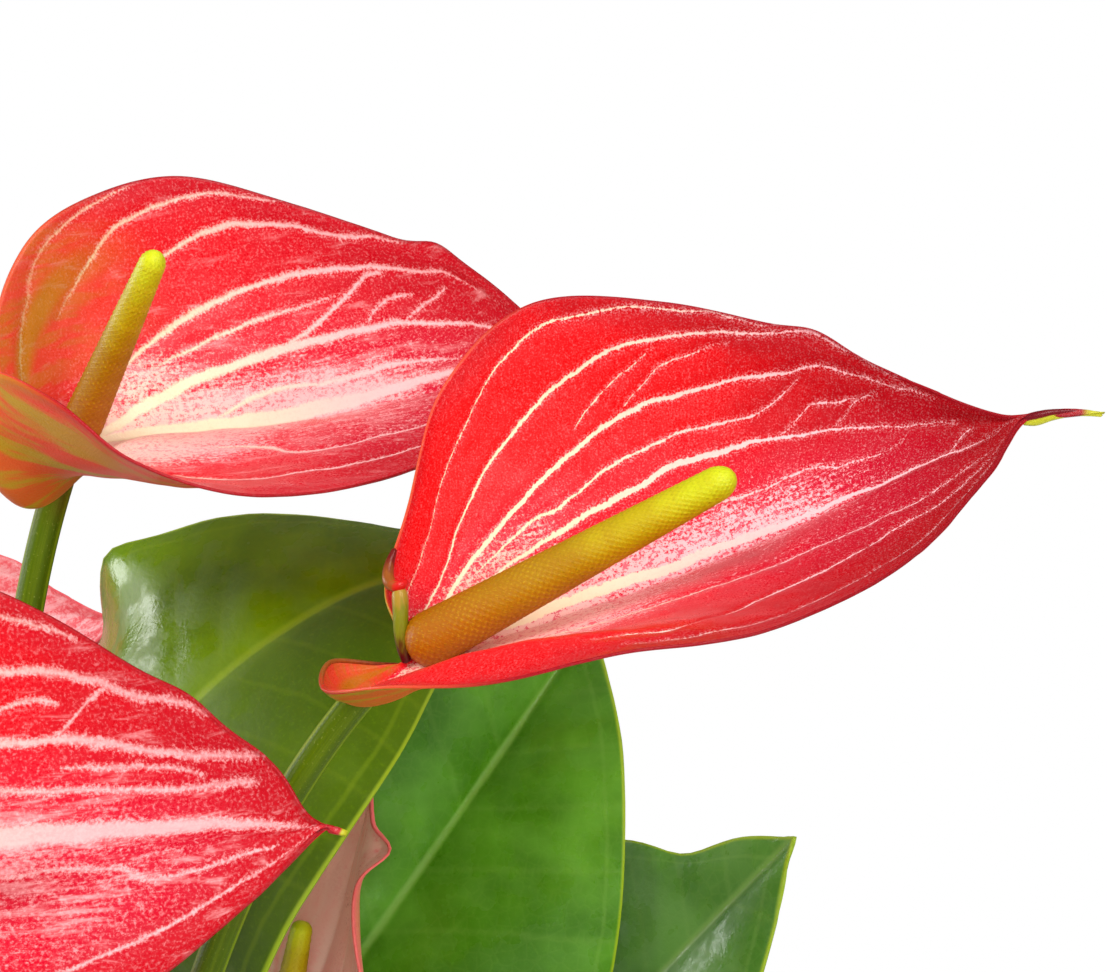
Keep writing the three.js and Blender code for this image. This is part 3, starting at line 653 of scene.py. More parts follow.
def makeSpadix(number, bloom, finish):
    form, scale = bloom["form"], bloom["scale"]
    girth = 4.75 * form["girth"] * math.sqrt(scale)
    along = np.array(form["along"]) / np.linalg.norm(form["along"])
    foot = (np.array(form["foot"]) + (0.2, 0, -0.5)) * scale
    length = form["length"] * scale - 2
    sideways = np.cross(along, (0, 1, 0))
    sideways /= np.linalg.norm(sideways)
    outward = np.cross(sideways, along)
    around = bloom["florets"]
    rows = round(length / (2 * math.pi * girth * 0.8 / around))

    def floret(u, v):
        # 0 in the creases between florets, 1 on their middles
        first, second = around * v + rows * u, around * v - rows * u
        x, y = first % 1 * 2 - 1, second % 1 * 2 - 1
        dome = (1 - np.abs(x) ** 2.6) * (1 - np.abs(y) ** 2.6)
        lobes = np.exp(-(x / 0.12) ** 2) + np.exp(-(y / 0.12) ** 2)
        return np.clip(dome, 0, 1) ** 0.7 - 0.3 * lobes * np.clip(dome, 0, 1) ** 0.5

    def shape(u, v):
        taper = 1 - (1 - 0.56) * u
        roundFoot = np.clip(1 - (1 - np.clip(u / 0.085, 0, 1)) ** 2.4, 0, 1) ** 0.5
        roundTip = np.sqrt(np.clip(1 - np.clip((u - 0.94) / 0.06, 0, 1) ** 2, 0, 1))
        ends = roundFoot * roundTip
        radius = girth * taper * ends + 0.26 * (floret(u, v) - 0.5) * np.clip(ends * 1.4, 0, 1) * ends
        angle = -2 * np.pi * v
        rim = np.cos(angle)[:, None] * sideways + np.sin(angle)[:, None] * outward
        return placed(bloom, foot + along * (u * length)[:, None] + rim * radius[:, None])

    columns = bloom["fineness"][1]
    piece = newGrid(f"bloom{number}_spadix", columns, bloom["fineness"][0], shape, floret=floret)
    mergeDoubles(piece)
    piece.data.materials.append(finish)
    settle(piece, f"spadix_{number}")
    return piece


# Stalks rise from a crown and come to their end along its own direction

crown = {"foot": 82, "top": 126, "radius": 12.5, "rings": 56, "sheaths": 7, "roots": 5,
         "stalkRing": 7.6, "stalkDepth": 9}
crowns = {1: (2, 25), 2: (-22, -12), 3: (22, -12)}


def stalkLine(root, end, arrival, reach):
    middle = crowns[root[0] + 1]
    bearing = math.radians(root[1])
    aside = np.array((math.cos(bearing), math.sin(bearing), 0))
    start = np.array((*middle, crown["top"] - crown["stalkDepth"])) + aside * crown["stalkRing"]
    rise = aside * 0.12 + np.array((0, 0, 1))
    rise /= np.linalg.norm(rise)
    distance = np.linalg.norm(end - start)
    knots = start, start + rise * reach[0] * distance, end - arrival * reach[1] * distance, end

    def line(t):
        t = t[:, None]
        a, b, c, d = knots
        return a * (1 - t)**3 + 3 * b * t * (1 - t)**2 + 3 * c * t**2 * (1 - t) + d * t**3
    return line


def newTube(name, line, radius, columns=60, rows=24, beside=(0.0, 1.0, 0.0)):
    # a closed tube along line(t) with radius(t, angle). It must not run along `beside`.
    def shape(u, v):
        ahead = line(np.minimum(u + 0.005, 1)) - line(np.maximum(u - 0.005, 0))
        ahead /= np.linalg.norm(ahead, axis=1)[:, None]
        aside = np.cross(ahead, beside)
        aside /= np.linalg.norm(aside, axis=1)[:, None]
        outward = np.cross(aside, ahead)
        angle = -2 * np.pi * v
        ends = np.sqrt(np.clip(1 - (1 - np.clip(np.minimum(u, 1 - u) / 0.012, 0, 1)) ** 2, 0, 1))
        size = (radius(u, angle) * ends)[:, None]
        return line(u) + (np.cos(angle)[:, None] * aside + np.sin(angle)[:, None] * outward) * size
    piece = newGrid(name, columns, rows, shape)
    mergeDoubles(piece)
    return piece


neck = 8  # the stalk slims over this length, and stops the form's tuck short of the spadix


def makeFlowerStalk(number, bloom, finish):
    form = bloom["form"]
    end = placed(bloom, np.array([form["foot"]]) * bloom["scale"])[0]
    turn = np.array([bloom.get("stalkTurn", form["stalkTurn"])])
    turn = turn / np.linalg.norm(turn)
    arrival = turned(turned(turn, (0, 1, 0), bloom["spin"]), (1, 0, 0), frontTilt)[0]
    whole = stalkLine(bloom["root"], end, arrival, bloom["reach"])
    length = stepLengths(whole(np.linspace(0, 1, 100))).sum()

    def line(t):
        return whole(t * (1 - form["tuck"] * bloom["scale"] / length))

    def radius(t, angle):
        sheath = 1.1 * np.exp(-(t / 0.05) ** 2)
        ridges = 0.05 * np.cos(7 * angle + 3 * t)
        slim = 1 - form["slim"] * smoothStep(t, 1 - neck * bloom["scale"] / length, 1)
        return (2.9 - 0.3 * t + sheath * (0.6 + 0.4 * np.cos(angle)) + ridges) * slim

    piece = newTube(f"bloom{number}_stalk", line, radius, 90, 28)
    piece.data.materials.append(finish)
    settle(piece, f"flower_stalk_{number}")
    return piece


# Leaves

leafOutline = {
    "midrib": [(along, 0) for along in (0, 0.02, 0.05, 0.11, 0.22, 0.38, 0.56, 0.76, 0.91, 1)],
    "margin": [(0, 0), (-0.12, 0.05), (-0.21, 0.15), (-0.2, 0.32), (-0.04, 0.44), (0.24, 0.43), (0.52, 0.33),
               (0.76, 0.18), (0.92, 0.06), (1, 0)],
}
plainLeaf = {
    "breadth": 1, "arch": 40, "fold": 15, "wave": 3, "roll": 0, "knee": 65, "thickness": 0.8, "nudges": [],
    "side": 1, "reach": (0.35, 0.3), "grid": (84, 64),
}
leaves = {
    1: {"at": (-9, 29, 291), "heading": -30, "tilt": -63, "roll": 63, "length": 95, "breadth": 1.16,
        "arch": 86, "fold": 6, "wave": 5, "phase": 0.91, "knee": 20, "root": (0, -90), "reach": (0.6, 0.2),
        "nudges": [(0.5, 0.035, (3.2, 0, 0)), (0.578, 0.03, (-2.6, 0, 2.6))]},
    2: {"at": (11.6, 58.3, 225.8), "heading": -6, "tilt": -55, "roll": 90, "length": 118, "breadth": 1.19,
        "arch": 44, "fold": 30, "wave": 5, "phase": 0.26, "knee": 20, "root": (0, 150), "reach": (0.5, 0.3)},
    3: {"at": (50.6, 83.2, 199.5), "heading": -26, "tilt": -49, "roll": 60, "length": 108, "breadth": 1.12,
        "arch": 1, "fold": 13, "wave": 5, "phase": -0.38, "knee": 0, "root": (0, 30),
        "nudges": [(0.813, 0.04, (0, 0, -3.8))]},
    4: {"at": (70, -40, 212), "heading": -33, "tilt": 24, "length": 118, "phase": 0.7, "root": (2, 90),
        "reach": (0.6, 0.2)},
    5: {"at": (20, -82, 186), "heading": -72, "tilt": 30, "length": 112, "breadth": 1.05, "phase": 0.3,
        "root": (2, -90)},
    6: {"at": (-40, -76, 204), "heading": -118, "tilt": 16, "length": 132, "phase": 0.6, "root": (1, -105),
        "reach": (0.35, 0.15)},
    7: {"at": (-88, -22, 216), "heading": 196, "tilt": 20, "length": 126, "phase": 0.2, "root": (1, -165),
        "reach": (0.35, 0.15)},
    8: {"at": (-82, 50, 198), "heading": 156, "tilt": 16, "length": 120, "breadth": 0.95, "phase": 0.8,
        "root": (1, 135)},
    9: {"at": (-20, 116, 184), "heading": 102, "tilt": 18, "length": 124, "phase": 0.5, "root": (0, 90)},
    10: {"at": (86, -8, 180), "heading": 0, "tilt": 10, "length": 116, "breadth": 1.08, "phase": 0.1,
         "root": (2, 15)},
}


def leafFlat(leaf, u, a):
    # the blade laid flat: how far along it and how far from its midrib
    outline = {key: smoothLine(points, u) for key, points in leafOutline.items()}
    reach = np.abs(a)[:, None]
    flat = outline["midrib"] * (1 - reach) + outline["margin"] * (1, leaf["breadth"]) * reach
    return (flat * leaf["length"]).T


def leafRib(leaf, u, a):
    # whole numbers lie on the side veins: feathered along the blade, fanned in its two lobes
    along, aside = leafFlat(leaf, u, a) / leaf["length"]
    feathered = 8.5 * (along - 0.62 * aside + 0.25 * aside**2)
    fanned = (np.pi / 2 - np.arctan2(aside + 0.001, along + 0.02)) * 1.9
    share = smoothStep(along, -0.02, 0.16)
    return feathered * share + fanned * (1 - share) + 20


def leafPlace(leaf, u, a):
    along, aside = leafFlat(leaf, u, a)
    bend = math.radians(leaf["arch"]) / leaf["length"]
    rise = math.radians(leaf["fold"])
    ripple = np.sin(2 * np.pi * (2.2 * u + leaf["phase"]) + np.where(a < 0, 1.3, 0)) * np.sin(np.pi * u)
    lift = aside * math.sin(rise) - 0.62 * aside**2 / leaf["length"] + leaf["wave"] * a**2 * ripple
    turn = bend * along
    return np.stack([np.sin(turn) / bend + lift * np.sin(turn), np.sign(a) * aside * math.cos(rise),
                     (np.cos(turn) - 1) / bend + lift * np.cos(turn)], axis=1)


def leafTurned(leaf, points):
    rolled = turned(points, (1, 0, 0), leaf["roll"])
    return turned(turned(rolled, (0, 1, 0), leaf["tilt"]), (0, 0, 1), leaf["heading"])


def makeLeaf(number, leaf, finishes):
    leaf = {**plainLeaf, **leaf}

    def shape(u, v):
        a = acrossFrom(v)
        return nudged(leaf, leafTurned(leaf, leafPlace(leaf, u, a)), u, a) + leaf["at"]

    def toMargin(u, v):
        return leafFlat(leaf, u, np.ones_like(u))[1] * (1 - np.abs(acrossFrom(v)))

    blade = newGrid(f"leaf{number}_blade", *leaf["grid"], shape,
                    rib=lambda u, v: leafRib(leaf, u, acrossFrom(v)),
                    aside=lambda u, v: leafFlat(leaf, u, acrossFrom(v))[1], margin=toMargin)
    mergeDoubles(blade)
    quilt(blade, leaf)
    for finish in finishes:
        blade.data.materials.append(finish)
    applyModifier(blade, "SOLIDIFY", "thickness", thickness=leaf["thickness"] * millimetre, offset=0,
                  use_rim=True, material_offset=1)
    knee = math.radians(leaf["knee"])
    arrival = leafTurned(leaf, np.array([[math.cos(knee), 0, math.sin(knee)]]))[0]
    end = np.array(leaf["at"]) + arrival * 0.6
    line = stalkLine(leaf["root"], end, arrival, leaf["reach"])

    def radius(t, angle):
        knuckle = 0.55 * np.exp(-((t - 0.955) / 0.03) ** 2)
        sheath = 0.9 * np.exp(-(t / 0.06) ** 2)
        channel = 0.16 * np.exp(-((np.cos(angle) - 1) / 0.15) ** 2)
        return 2.7 - 0.6 * t + knuckle + sheath * (0.6 + 0.4 * np.cos(angle)) - channel

    stalk = newTube(f"leaf{number}_stalk", line, radius, 70, 20)
    stalk.data.materials.append(finishes[2])
    piece = joined(f"leaf{number}", [blade, stalk])
    settle(piece, f"leaf_{number}")
    return piece


def quilt(piece, leaf):
    # veins lie in shallow furrows and the skin between them swells
    u, a = pointPlaces(piece.data)
    aside = leafFlat(leaf, u, a)[1]
    rib = leafRib(leaf, u, a)
    points = readPoints(piece.data) / millimetre
    swell = 0.34 * (1 - np.exp(-((rib - np.round(rib)) / 0.16) ** 2)) * smoothStep(aside, 1, 9)
    midrib = -0.5 * np.exp(-(aside / 1.6) ** 2)
    pucker = 0.35 * lumps(points, 14, 3) + 0.04 * lumps(points, 4, 4)
    quiet = np.clip(np.minimum(np.minimum(u / 0.06, (1 - u) / 0.06), (1 - np.abs(a)) / 0.1 + 0.2), 0, 1)
    pushOut(piece.data, (swell + midrib + pucker) * quiet)


# Crowns, potting mix and pot

def newTurned(name, outline, middle=(0, 0), segments=96):
    # a round piece raised from a disc, ring by ring. The outline lists radius and height.
    deselectAll()
    radius, height = outline[0]
    place = [k * millimetre for k in (*middle, height)]
    bpy.ops.mesh.primitive_circle_add(vertices=segments, radius=radius * millimetre, fill_type="NGON",
                                      location=place)
    piece = bpy.context.object
    piece.name = name
    bpy.ops.object.transform_apply(location=True, rotation=True, scale=True)
    bpy.ops.object.mode_set(mode="EDIT")
    bpy.ops.mesh.select_all(action="SELECT")
    for nextRadius, nextHeight in outline[1:]:
        rise = (0, 0, (nextHeight - height) * millimetre)
        bpy.ops.mesh.extrude_region_move(TRANSFORM_OT_translate={"value": rise})
        share = nextRadius / radius
        bpy.ops.transform.resize(value=(share, share, 1), center_override=(place[0], place[1], 0))
        radius, height = nextRadius, nextHeight
    bpy.ops.mesh.select_all(action="SELECT")
    bpy.ops.mesh.normals_make_consistent(inside=False)
    bpy.ops.object.mode_set(mode="OBJECT")
    return piece


potOutline = [(45, 0), (47, 2), (65, 100), (69.5, 102), (70.5, 104), (70.5, 120), (68.5, 122), (63.5, 122),
              (61.5, 120), (42.5, 10), (38.5, 6), (2, 6)]
mix = {
    "side": [(38.5, 6.4), (42, 10.4), (58.5, 104.5)], "level": 106, "radius": 58.6, "rings": 26,
    "relief": 1.6, "chunks": 420,
    "flakes": [(7, 4.5, 1.8), (5, 4, 2.2), (9, 4, 2), (4, 3, 1.6), (3, 2.6, 1.8)],
    "perlite": 90, "grains": [(2.2, 1.9, 1.6), (1.5, 1.4, 1.2)],
}


def makePot(finish):
    pot = newTurned("pot_glazed", potOutline, segments=128)
    applyModifier(pot, "BEVEL", "rounded", width=0.9 * millimetre, segments=3, limit_method="ANGLE",
                  angle_limit=math.radians(14))
    pot.data.materials.append(finish)
    settle(pot, "pot", sharp=35)
    return pot


def mixHeight(x, y):
    swell = np.sin(0.21 * x + 1.1) * np.cos(0.17 * y) + 0.6 * np.sin(0.43 * y + 0.31 * x)
    return mix["level"] + mix["relief"] * swell


def newChunk(name, size, seed, finish):
    # a rough flake with a few dozen faces
    deselectAll()
    bpy.ops.mesh.primitive_cube_add(size=1)
    chunk = bpy.context.object
    chunk.name = name
    bpy.ops.object.mode_set(mode="EDIT")
    bpy.ops.mesh.select_all(action="SELECT")
    bpy.ops.transform.resize(value=[k * millimetre for k in size])
    bpy.ops.mesh.bevel(offset=min(size) * 0.25 * millimetre, segments=1)
    bpy.ops.object.mode_set(mode="OBJECT")
    points = readPoints(chunk.data) / millimetre
    push = np.stack([lumps(points, 2.2, seed + k) for k in (0, 1, 2)], axis=1)
    writePoints(chunk.data, (points + push * min(size) * 0.45) * millimetre)
    chunk.data.materials.append(finish)
    return chunk


def scattered(sources, count, rng, sink):
    # copies of the sources, strewn over the mix outside the crowns
    copies = []
    while len(copies) < count:
        bearing = rng.uniform(0, 2 * math.pi)
        distance = (mix["radius"] - 3.5) * math.sqrt(rng.uniform(0, 1))
        x, y = distance * math.cos(bearing), distance * math.sin(bearing)
        if any(math.dist((x, y), middle) < crown["radius"] + 1.5 for middle in crowns.values()):
            continue
        source = sources[len(copies) % len(sources)]
        copy = source.copy()
        copy.data = source.data.copy()
        bpy.context.collection.objects.link(copy)
        copy.location = Vector((x, y, mixHeight(x, y) - sink + rng.uniform(0, 1.6))) * millimetre
        copy.rotation_euler = rng.uniform(-0.5, 0.5), rng.uniform(-0.5, 0.5), rng.uniform(0, 6.3)
        copy.scale = [rng.uniform(0.6, 1.25)] * 3
        copies.append(copy)
    for source in sources:
        bpy.data.objects.remove(source)
    return copies


def makeMix(soilSkin, chipSkin, perliteSkin):
    rings = [(mix["radius"] * (1 - k / mix["rings"]), mix["level"]) for k in range(mix["rings"])]
    soil = newTurned("soil", [*mix["side"], *rings], segments=128)
    points = readPoints(soil.data) / millimetre
    top = points[:, 2] > mix["level"] - 0.1
    crumbs = 0.5 * lumps(points, 3, 5) + 0.35 * lumps(points, 1.4, 6)
    points[:, 2] = np.where(top, mixHeight(points[:, 0], points[:, 1]) + crumbs, points[:, 2])
    writePoints(soil.data, points * millimetre)
    soil.data.materials.append(soilSkin)
    rng = np.random.default_rng(7)
    flakes = [newChunk(f"flake{k}", size, 10 + 3 * k, chipSkin) for k, size in enumerate(mix["flakes"])]
    grains = [newChunk(f"grain{k}", size, 30 + k, perliteSkin) for k, size in enumerate(mix["grains"])]
    strewn = scattered(flakes, mix["chunks"], rng, 0.3) + scattered(grains, mix["perlite"], rng, -0.4)
    piece = joined("mix", [soil, *strewn])
    settle(piece, "potting_mix", sharp=45)
    return piece


def makeCrown(number, middle, bark, sheathPaper, rootSkin):
    # a short ringed stem, wrapped in old leaf sheaths, with the stubs of roots at its foot
    full, foot, top = crown["radius"], crown["foot"], crown["top"]
    rings = []
    for share in np.linspace(0, 1, crown["rings"]):
        width = 0.93 + 0.05 * math.sin(share * 46) + 0.03 * math.sin(share * 19 + number)
        close = 1 - 0.28 * max((share - 0.8) / 0.2, 0) ** 2
        rings.append((full * width * close, foot + (top - foot) * share * 0.97))
    rings += [(full * 0.5, top - 0.5), (full * 0.15, top)]
    stem = newTurned(f"stem{number}", rings, middle, 64)
    points = readPoints(stem.data) / millimetre
    outward = points - np.array([*middle, 0])
    outward[:, 2] = 0
    outward /= np.maximum(np.linalg.norm(outward, axis=1), 0.1)[:, None]
    push = 0.5 * lumps(points, 3.5, number) - 0.3
    writePoints(stem.data, (points + outward * push[:, None]) * millimetre)
    stem.data.materials.append(bark)
    parts = [stem]
    for k in range(crown["sheaths"]):
        bearing = 2 * math.pi * (k / crown["sheaths"] + 0.13 * number)
        low = 97 + 5 * (k % 3)
        high = low + 15 + 3 * (k % 2)

        def sheath(u, v, bearing=bearing, low=low, high=high):
            spread = 0.62 * (1 - u) ** 0.6 * (v - 0.5) * 2
            radius = full * (0.98 - 0.1 * u) + 0.5 + 0.35 * np.sin(9 * v + k) * u
            angle = bearing + spread
            return np.stack([middle[0] + radius * np.cos(angle), middle[1] + radius * np.sin(angle),
                             low + (high - low) * u], axis=1)

        strip = newGrid(f"sheath{number}_{k}", 16, 12, sheath)
        strip.data.materials.append(sheathPaper)
        applyModifier(strip, "SOLIDIFY", "thickness", thickness=0.35 * millimetre, offset=0)
        parts.append(strip)
    for k in range(crown["roots"]):
        bearing = 2 * math.pi * (k / crown["roots"] + 0.21 * number)
        aside = np.array([math.cos(bearing), math.sin(bearing), 0])
        start = np.array([*middle, 112 - 1.5 * k]) + full * 0.8 * aside
        aim = (aside + (0, 0, -0.9 - 0.2 * (k % 2))) * (4 + k % 3)

        def line(t, start=start, aim=aim):
            return start + aim * t[:, None] + np.outer(t**2, (0, 0, -1.6))

        root = newTube(f"root{number}_{k}", line, lambda t, angle: 1.15 - 0.45 * t, 14, 12)
        root.data.materials.append(rootSkin)
        parts.append(root)
    piece = joined(f"crown{number}", parts)
    settle(piece, f"crown_{number}")
    return piece


# Finishes of the spathes

spathePaint = {
    "red": "f5080c", "crimson": "b40614", "tip": "98040e", "magenta": "e2124a", "pink": "f9c4c6",
    "cream": "fdeabf", "blush": "ffceb4", "maroon": "5c0010", "olive": "a08e14", "orange": "dc5634",
    "leafy": "8c9a28", "ochre": "b4961c", "edge": "8e0a18", "lemon": "b8b424",
}


def paleShare(bloom, u, a):
    # how far the red gives way to pale mottling: beside the midrib, and on the floor of the lower half
    span = spatheSpan(bloom, u, a)
    beside = np.exp(-((a - 0.06) * span / 9.5) ** 2) * smoothStep(u, 0.04, 0.2)
    beside *= bloom["beside"] * (1 - smoothStep(u, 0.52, 0.74))
    floor = smoothStep(a, -0.62, -0.3) * (1 - smoothStep(a, 0.02, 0.1))
    floor *= 0.9 * bloom["floor"] * smoothStep(u, 0.08, 0.25) * (1 - smoothStep(u, 0.38, 0.62))
    streaks = 0.36 * (1 - smoothStep(np.abs(a + 0.05), 0.2, 0.65)) * smoothStep(u, 0.3, 0.5)
    streaks *= 1 - smoothStep(u, 0.6, 0.76)
    root = 0.6 * np.exp(-((a - 0.27) / 0.15) ** 2) * smoothStep(u, 0.12, 0.24)
    root *= 1 - smoothStep(u, 0.36, 0.5)
    return np.clip(np.max([beside, floor, streaks, root], axis=0) + bloom["pallor"], 0, 1)


def warmShare(bloom, u, a):
    # olive and orange at the joint and in the two lobes
    lower = smoothStep(-a, 0.35, 0.7) * (1 - smoothStep(u, 0.16, 0.34))
    upper = smoothStep(a, 0.5, 0.9) * (1 - smoothStep(u, 0.06, 0.14))
    if bloom["form"] is cuppedForm:
        upper = smoothStep(a, 0.3, 0.75) * (1 - smoothStep(u, 0.3, 0.46))
    return np.maximum(lower, upper)


def deepestVein(veins, u, v, span):
    # how deep a place lies inside a vein, in millimetres, below nothing outside them
    quarter = span * -0.5
    deepest = 0.0
    for vein in veins:
        middle = curveThrough(u, [(at, (across + 1) / 2) for at, across, width in vein])
        width = curveThrough(u, [(at, ((width or -0.8) / 2 + 1) / 4) for at, across, width in vein])
        away = abs(v - middle)
        deepest = larger(deepest, away * quarter + width)
    return deepest * 4.0 - 1.0


def lengthwise(u, v, span):
    # places along and across a spathe, in about millimetres, for what follows its fibres
    return newPattern(u.tree, "ShaderNodeCombineXYZ", {0: u * 100.0, 1: (v - 0.5) * span, 2: 0.0})


def bloomPaint(bloom):
    return {key: colour(code) for key, code in {**spathePaint, **bloom["paint"]}.items()}


def spatheFront(name, bloom):
    paint = bloomPaint(bloom)
    material, tree = newFinish(name, 0.3, Specular_IOR_Level=0.24)
    u, v = surfacePlace(tree)
    span, pale, warm = attribute(tree, "span"), attribute(tree, "pale"), attribute(tree, "warm")
    place = objectPlace(tree)
    softness = bloom["softness"]
    grain = speckle(place, 3.2 - 1.6 * softness, 2.0, 0.6)
    blotch = speckle(place, 0.16, 3.0, 0.6)
    fibres = lengthwise(u, v, span)
    comb = speckle(stretched(fibres, (4.5, 1.0, 1.0)), 1.0, 2.0, 0.6)
    streak = speckle(stretched(fibres, (0.35, 3.2, 1.0)), 1.0, 4.0, 0.65)

    # veins with feathered sides
    sway = speckle(place, 0.16, 2.0, 0.5) - 0.5
    swayed = v + sway / span
    depth = deepestVein(bloom["veins"], u, swayed, span)
    rough = (grain - 0.5) * 0.54 + ((comb - 0.5) * 0.9 + depth)
    core = fade(rough, -0.12 - 0.6 * softness, 0.16 + 0.5 * softness)
    halo = fade(rough, -1.3, 0.2) * fade(grain, 0.45, 0.65)

    # red, deeper towards the tip and along the margin, speckled all over
    tipwards = curveThrough(u, [(0, 0), (0.35, 0.06), (0.48, 0.35), (0.58, 0.75), (0.7, 1), (1, 1)])
    edgewards = abs(v * 2.0 - 1.0)
    rimwards = fade(edgewards, 0.8, 1.0) * 0.5
    shade = blotch * 0.5 - 0.25 + (tipwards + rimwards)
    skin = blend(fade(shade, -0.1, 1.1), paint["red"], paint["crimson"])
    skin = blend(fade(u, 0.52, 0.78) * 0.85, skin, paint["tip"])
    skin = blend(pale * 0.7, skin, paint["magenta"])
    pinkGrain = fade(grain, 0.58, 0.7) * (pale * 0.55 + 0.035)
    skin = blend(pinkGrain, skin, paint["pink"])
    skin = blend(fade(grain, 0.45, 0.3) * 0.3, skin, paint["crimson"])

    # pale mottling between the veins
    freckle = speckle(place, 1.8 - 0.9 * softness, 3.0, 0.75)
    texture = streak * 0.35 + freckle * 0.65
    mottle = fade(pale * 0.4 + texture, 0.69 - 0.06 * softness, 0.79 + 0.05 * softness)
    paleSkin = blend(fade(u, 0.52, 0.3), paint["pink"], paint["blush"])
    skin = blend(mottle * (0.9 - 0.2 * softness), skin, paleSkin)
    flecks = fade(speckle(place, 1.1, 3.0, 0.7), 0.53, 0.59, 0.0, 0.8 - 0.4 * softness)
    skin = blend(mottle * flecks, skin, paint["magenta"])
    if softness:
        veil = speckle(stretched(fibres, (0.16, 0.75, 1.0)), 1.0, 4.0, 0.7, 0.4)
        veil = fade(pale * 0.2 + veil, 0.56, 0.78, 0.0, 0.7 * softness)
        skin = blend(veil, skin, paint["pink"])
    veinSkin = blend(fade(u, 0.38, 0.6), paint["cream"], paint["pink"])
    skin = blend(halo * (0.45 + 0.4 * softness), skin, paint["pink"])
    skin = blend(core * (0.92 - 0.12 * softness), skin, veinSkin)

    # olive and orange in the lobes, maroon at the joint and a dark thin margin
    bands = fade(speckle(stretched(fibres, (0.12, 0.5, 1.0)), 1.0, 3.0, 0.6), 0.42, 0.6)
    besideMargin = abs(edgewards - 0.8)
    bands = larger(bands * 0.6, fade(besideMargin, 0.1, 0.02))
    warmSkin = blend(bands, paint["orange"], paint["olive"])
    skin = blend(warm * 0.65, skin, warmSkin)
    skin = blend(fade(u, 0.05, 0.015), skin, paint["maroon"])
    toMargin = (1.0 - edgewards) * span
    rim = blend(fade(u, 0.44, 0.34), paint["edge"], paint["orange"])
    skin = blend(fade(toMargin, 0.7, 0.1) * 0.75, skin, rim)
    skin = blend(fade(u, 0.955, 0.975), skin, paint["lemon"])
    relief = comb * 0.3 + (grain * 0.5 + core * -0.45)
    return painted(material, skin, relief, 0.12, roughness=grain * 0.16 + (blotch * 0.12 + 0.16))


broadVein = 0.75  # narrower veins don't show on the back


def spatheBack(name, bloom):
    # the outer face is duller and more orange, with raised olive veins
    paint = bloomPaint(bloom)
    material, tree = newFinish(name, 0.42, Specular_IOR_Level=0.35)
    u, v = surfacePlace(tree)
    span = attribute(tree, "span")
    place = objectPlace(tree)
    grain = speckle(place, 2.4, 2.0, 0.6)
    fibres = lengthwise(u, v, span)
    sway = speckle(place, 0.3, 3.0, 0.6) - 0.5
    broad = [vein for vein in bloom["veins"] if max(point[2] for point in vein) > broadVein]
    depth = deepestVein(broad, u, v + sway / span, span)
    core = fade(grain * 0.8 + depth, -0.4, 0.5)
    bands = fade(speckle(stretched(fibres, (0.06, 0.42, 1.0)), 1.0, 3.0, 0.6), 0.46, 0.6)
    skin = blend(grain, paint["orange"], paint["red"])
    skin = blend(fade(u, 0.42, 0.24, 0.0, 0.3), skin, paint["ochre"])
    skin = blend(bands * fade(u, 0.6, 0.35, 0.12, 0.85), skin, paint["ochre"])
    skin = blend(fade(u, 0.55, 0.85), skin, paint["crimson"])
    skin = blend(core * 0.65, skin, paint["leafy"])
    toMargin = (1.0 - abs(v * 2.0 - 1.0)) * span
    rim = blend(fade(u, 0.3, 0.45), paint["ochre"], paint["crimson"])
    skin = blend(fade(toMargin, 2.6, 0.6) * 0.8, skin, rim)
    skin = blend(fade(u, 0.955, 0.975), skin, paint["lemon"])
    return painted(material, skin, core * 1.2 + grain, 0.15)


def lipFinish(name, first, second, third):
    # three colours along a lip
    material, tree = newFinish(name, 0.3, Specular_IOR_Level=0.35)
    u = surfacePlace(tree)[0]
    place = objectPlace(tree)
    streak = speckle(stretched(place, (1.5, 1.5, 0.4)), 1.0, 3.0, 0.6)
    along = (streak - 0.5) * 0.5 + u
    skin = blend(fade(along, 0.1, 0.45), colour(first), colour(second))
    skin = blend(fade(along, 0.55, 0.8), skin, colour(third))
    return painted(material, skin, streak, 0.1)


def dripFinish():
    # dark red above and yellow green below, all yellow green at its end
    material, tree = newFinish("drip_tip", 0.3, Specular_IOR_Level=0.35)
    u, v = surfacePlace(tree)
    place = objectPlace(tree)
    grain = speckle(place, 2.0, 3.0, 0.6)
    upper = (grain - 0.5) * 0.5 + (v * (-2 * math.pi)).math("SINE")
    green = larger(fade(upper, 0.2, -0.1), fade(u, 0.74, 0.82))
    skin = blend(green, colour("6c0c16"), blend(grain, colour("a29c10"), colour("c4c434")))
    return painted(material, skin, grain, 0.08)


def spadixFinish(name, base="a86000", middle="aa7c00", upper="bca400", tip="ced410"):
    # florets ripen from the foot up: orange first, lemon at the tip
    material, tree = newFinish(name, 0.42, Specular_IOR_Level=0.35)
    u = surfacePlace(tree)[0]
    floret = attribute(tree, "floret")
    place = objectPlace(tree)
    grain = speckle(place, 2.5, 3.0, 0.6)
    ripeness = (speckle(place, 0.3, 2.0) - 0.5) * 0.2 + u
    skin = blend(fade(ripeness, 0.05, 0.5), colour(base), colour(middle))
    skin = blend(fade(ripeness, 0.45, 0.72), skin, colour(upper))
    skin = blend(fade(ripeness, 0.72, 1.0), skin, colour(tip))
    # painted shade: the creases between the florets are darkened where shade falls
    paintedCreaseShade = fade(floret, 0.35, 0.0) * 0.34
    skin = blend(paintedCreaseShade, skin, colour("8a5a02"))
    # painted highlight: the middles of the florets are lightened as if lit from above
    skin = blend(fade(floret, 0.7, 0.95) * 0.25, skin, colour("dcc814"))
    skin = blend(fade(grain, 0.55, 0.75) * 0.22, skin, colour("e4d02c"))
    return painted(material, skin, floret * 0.6 + grain, 0.1)


# Finishes of leaves and stalks

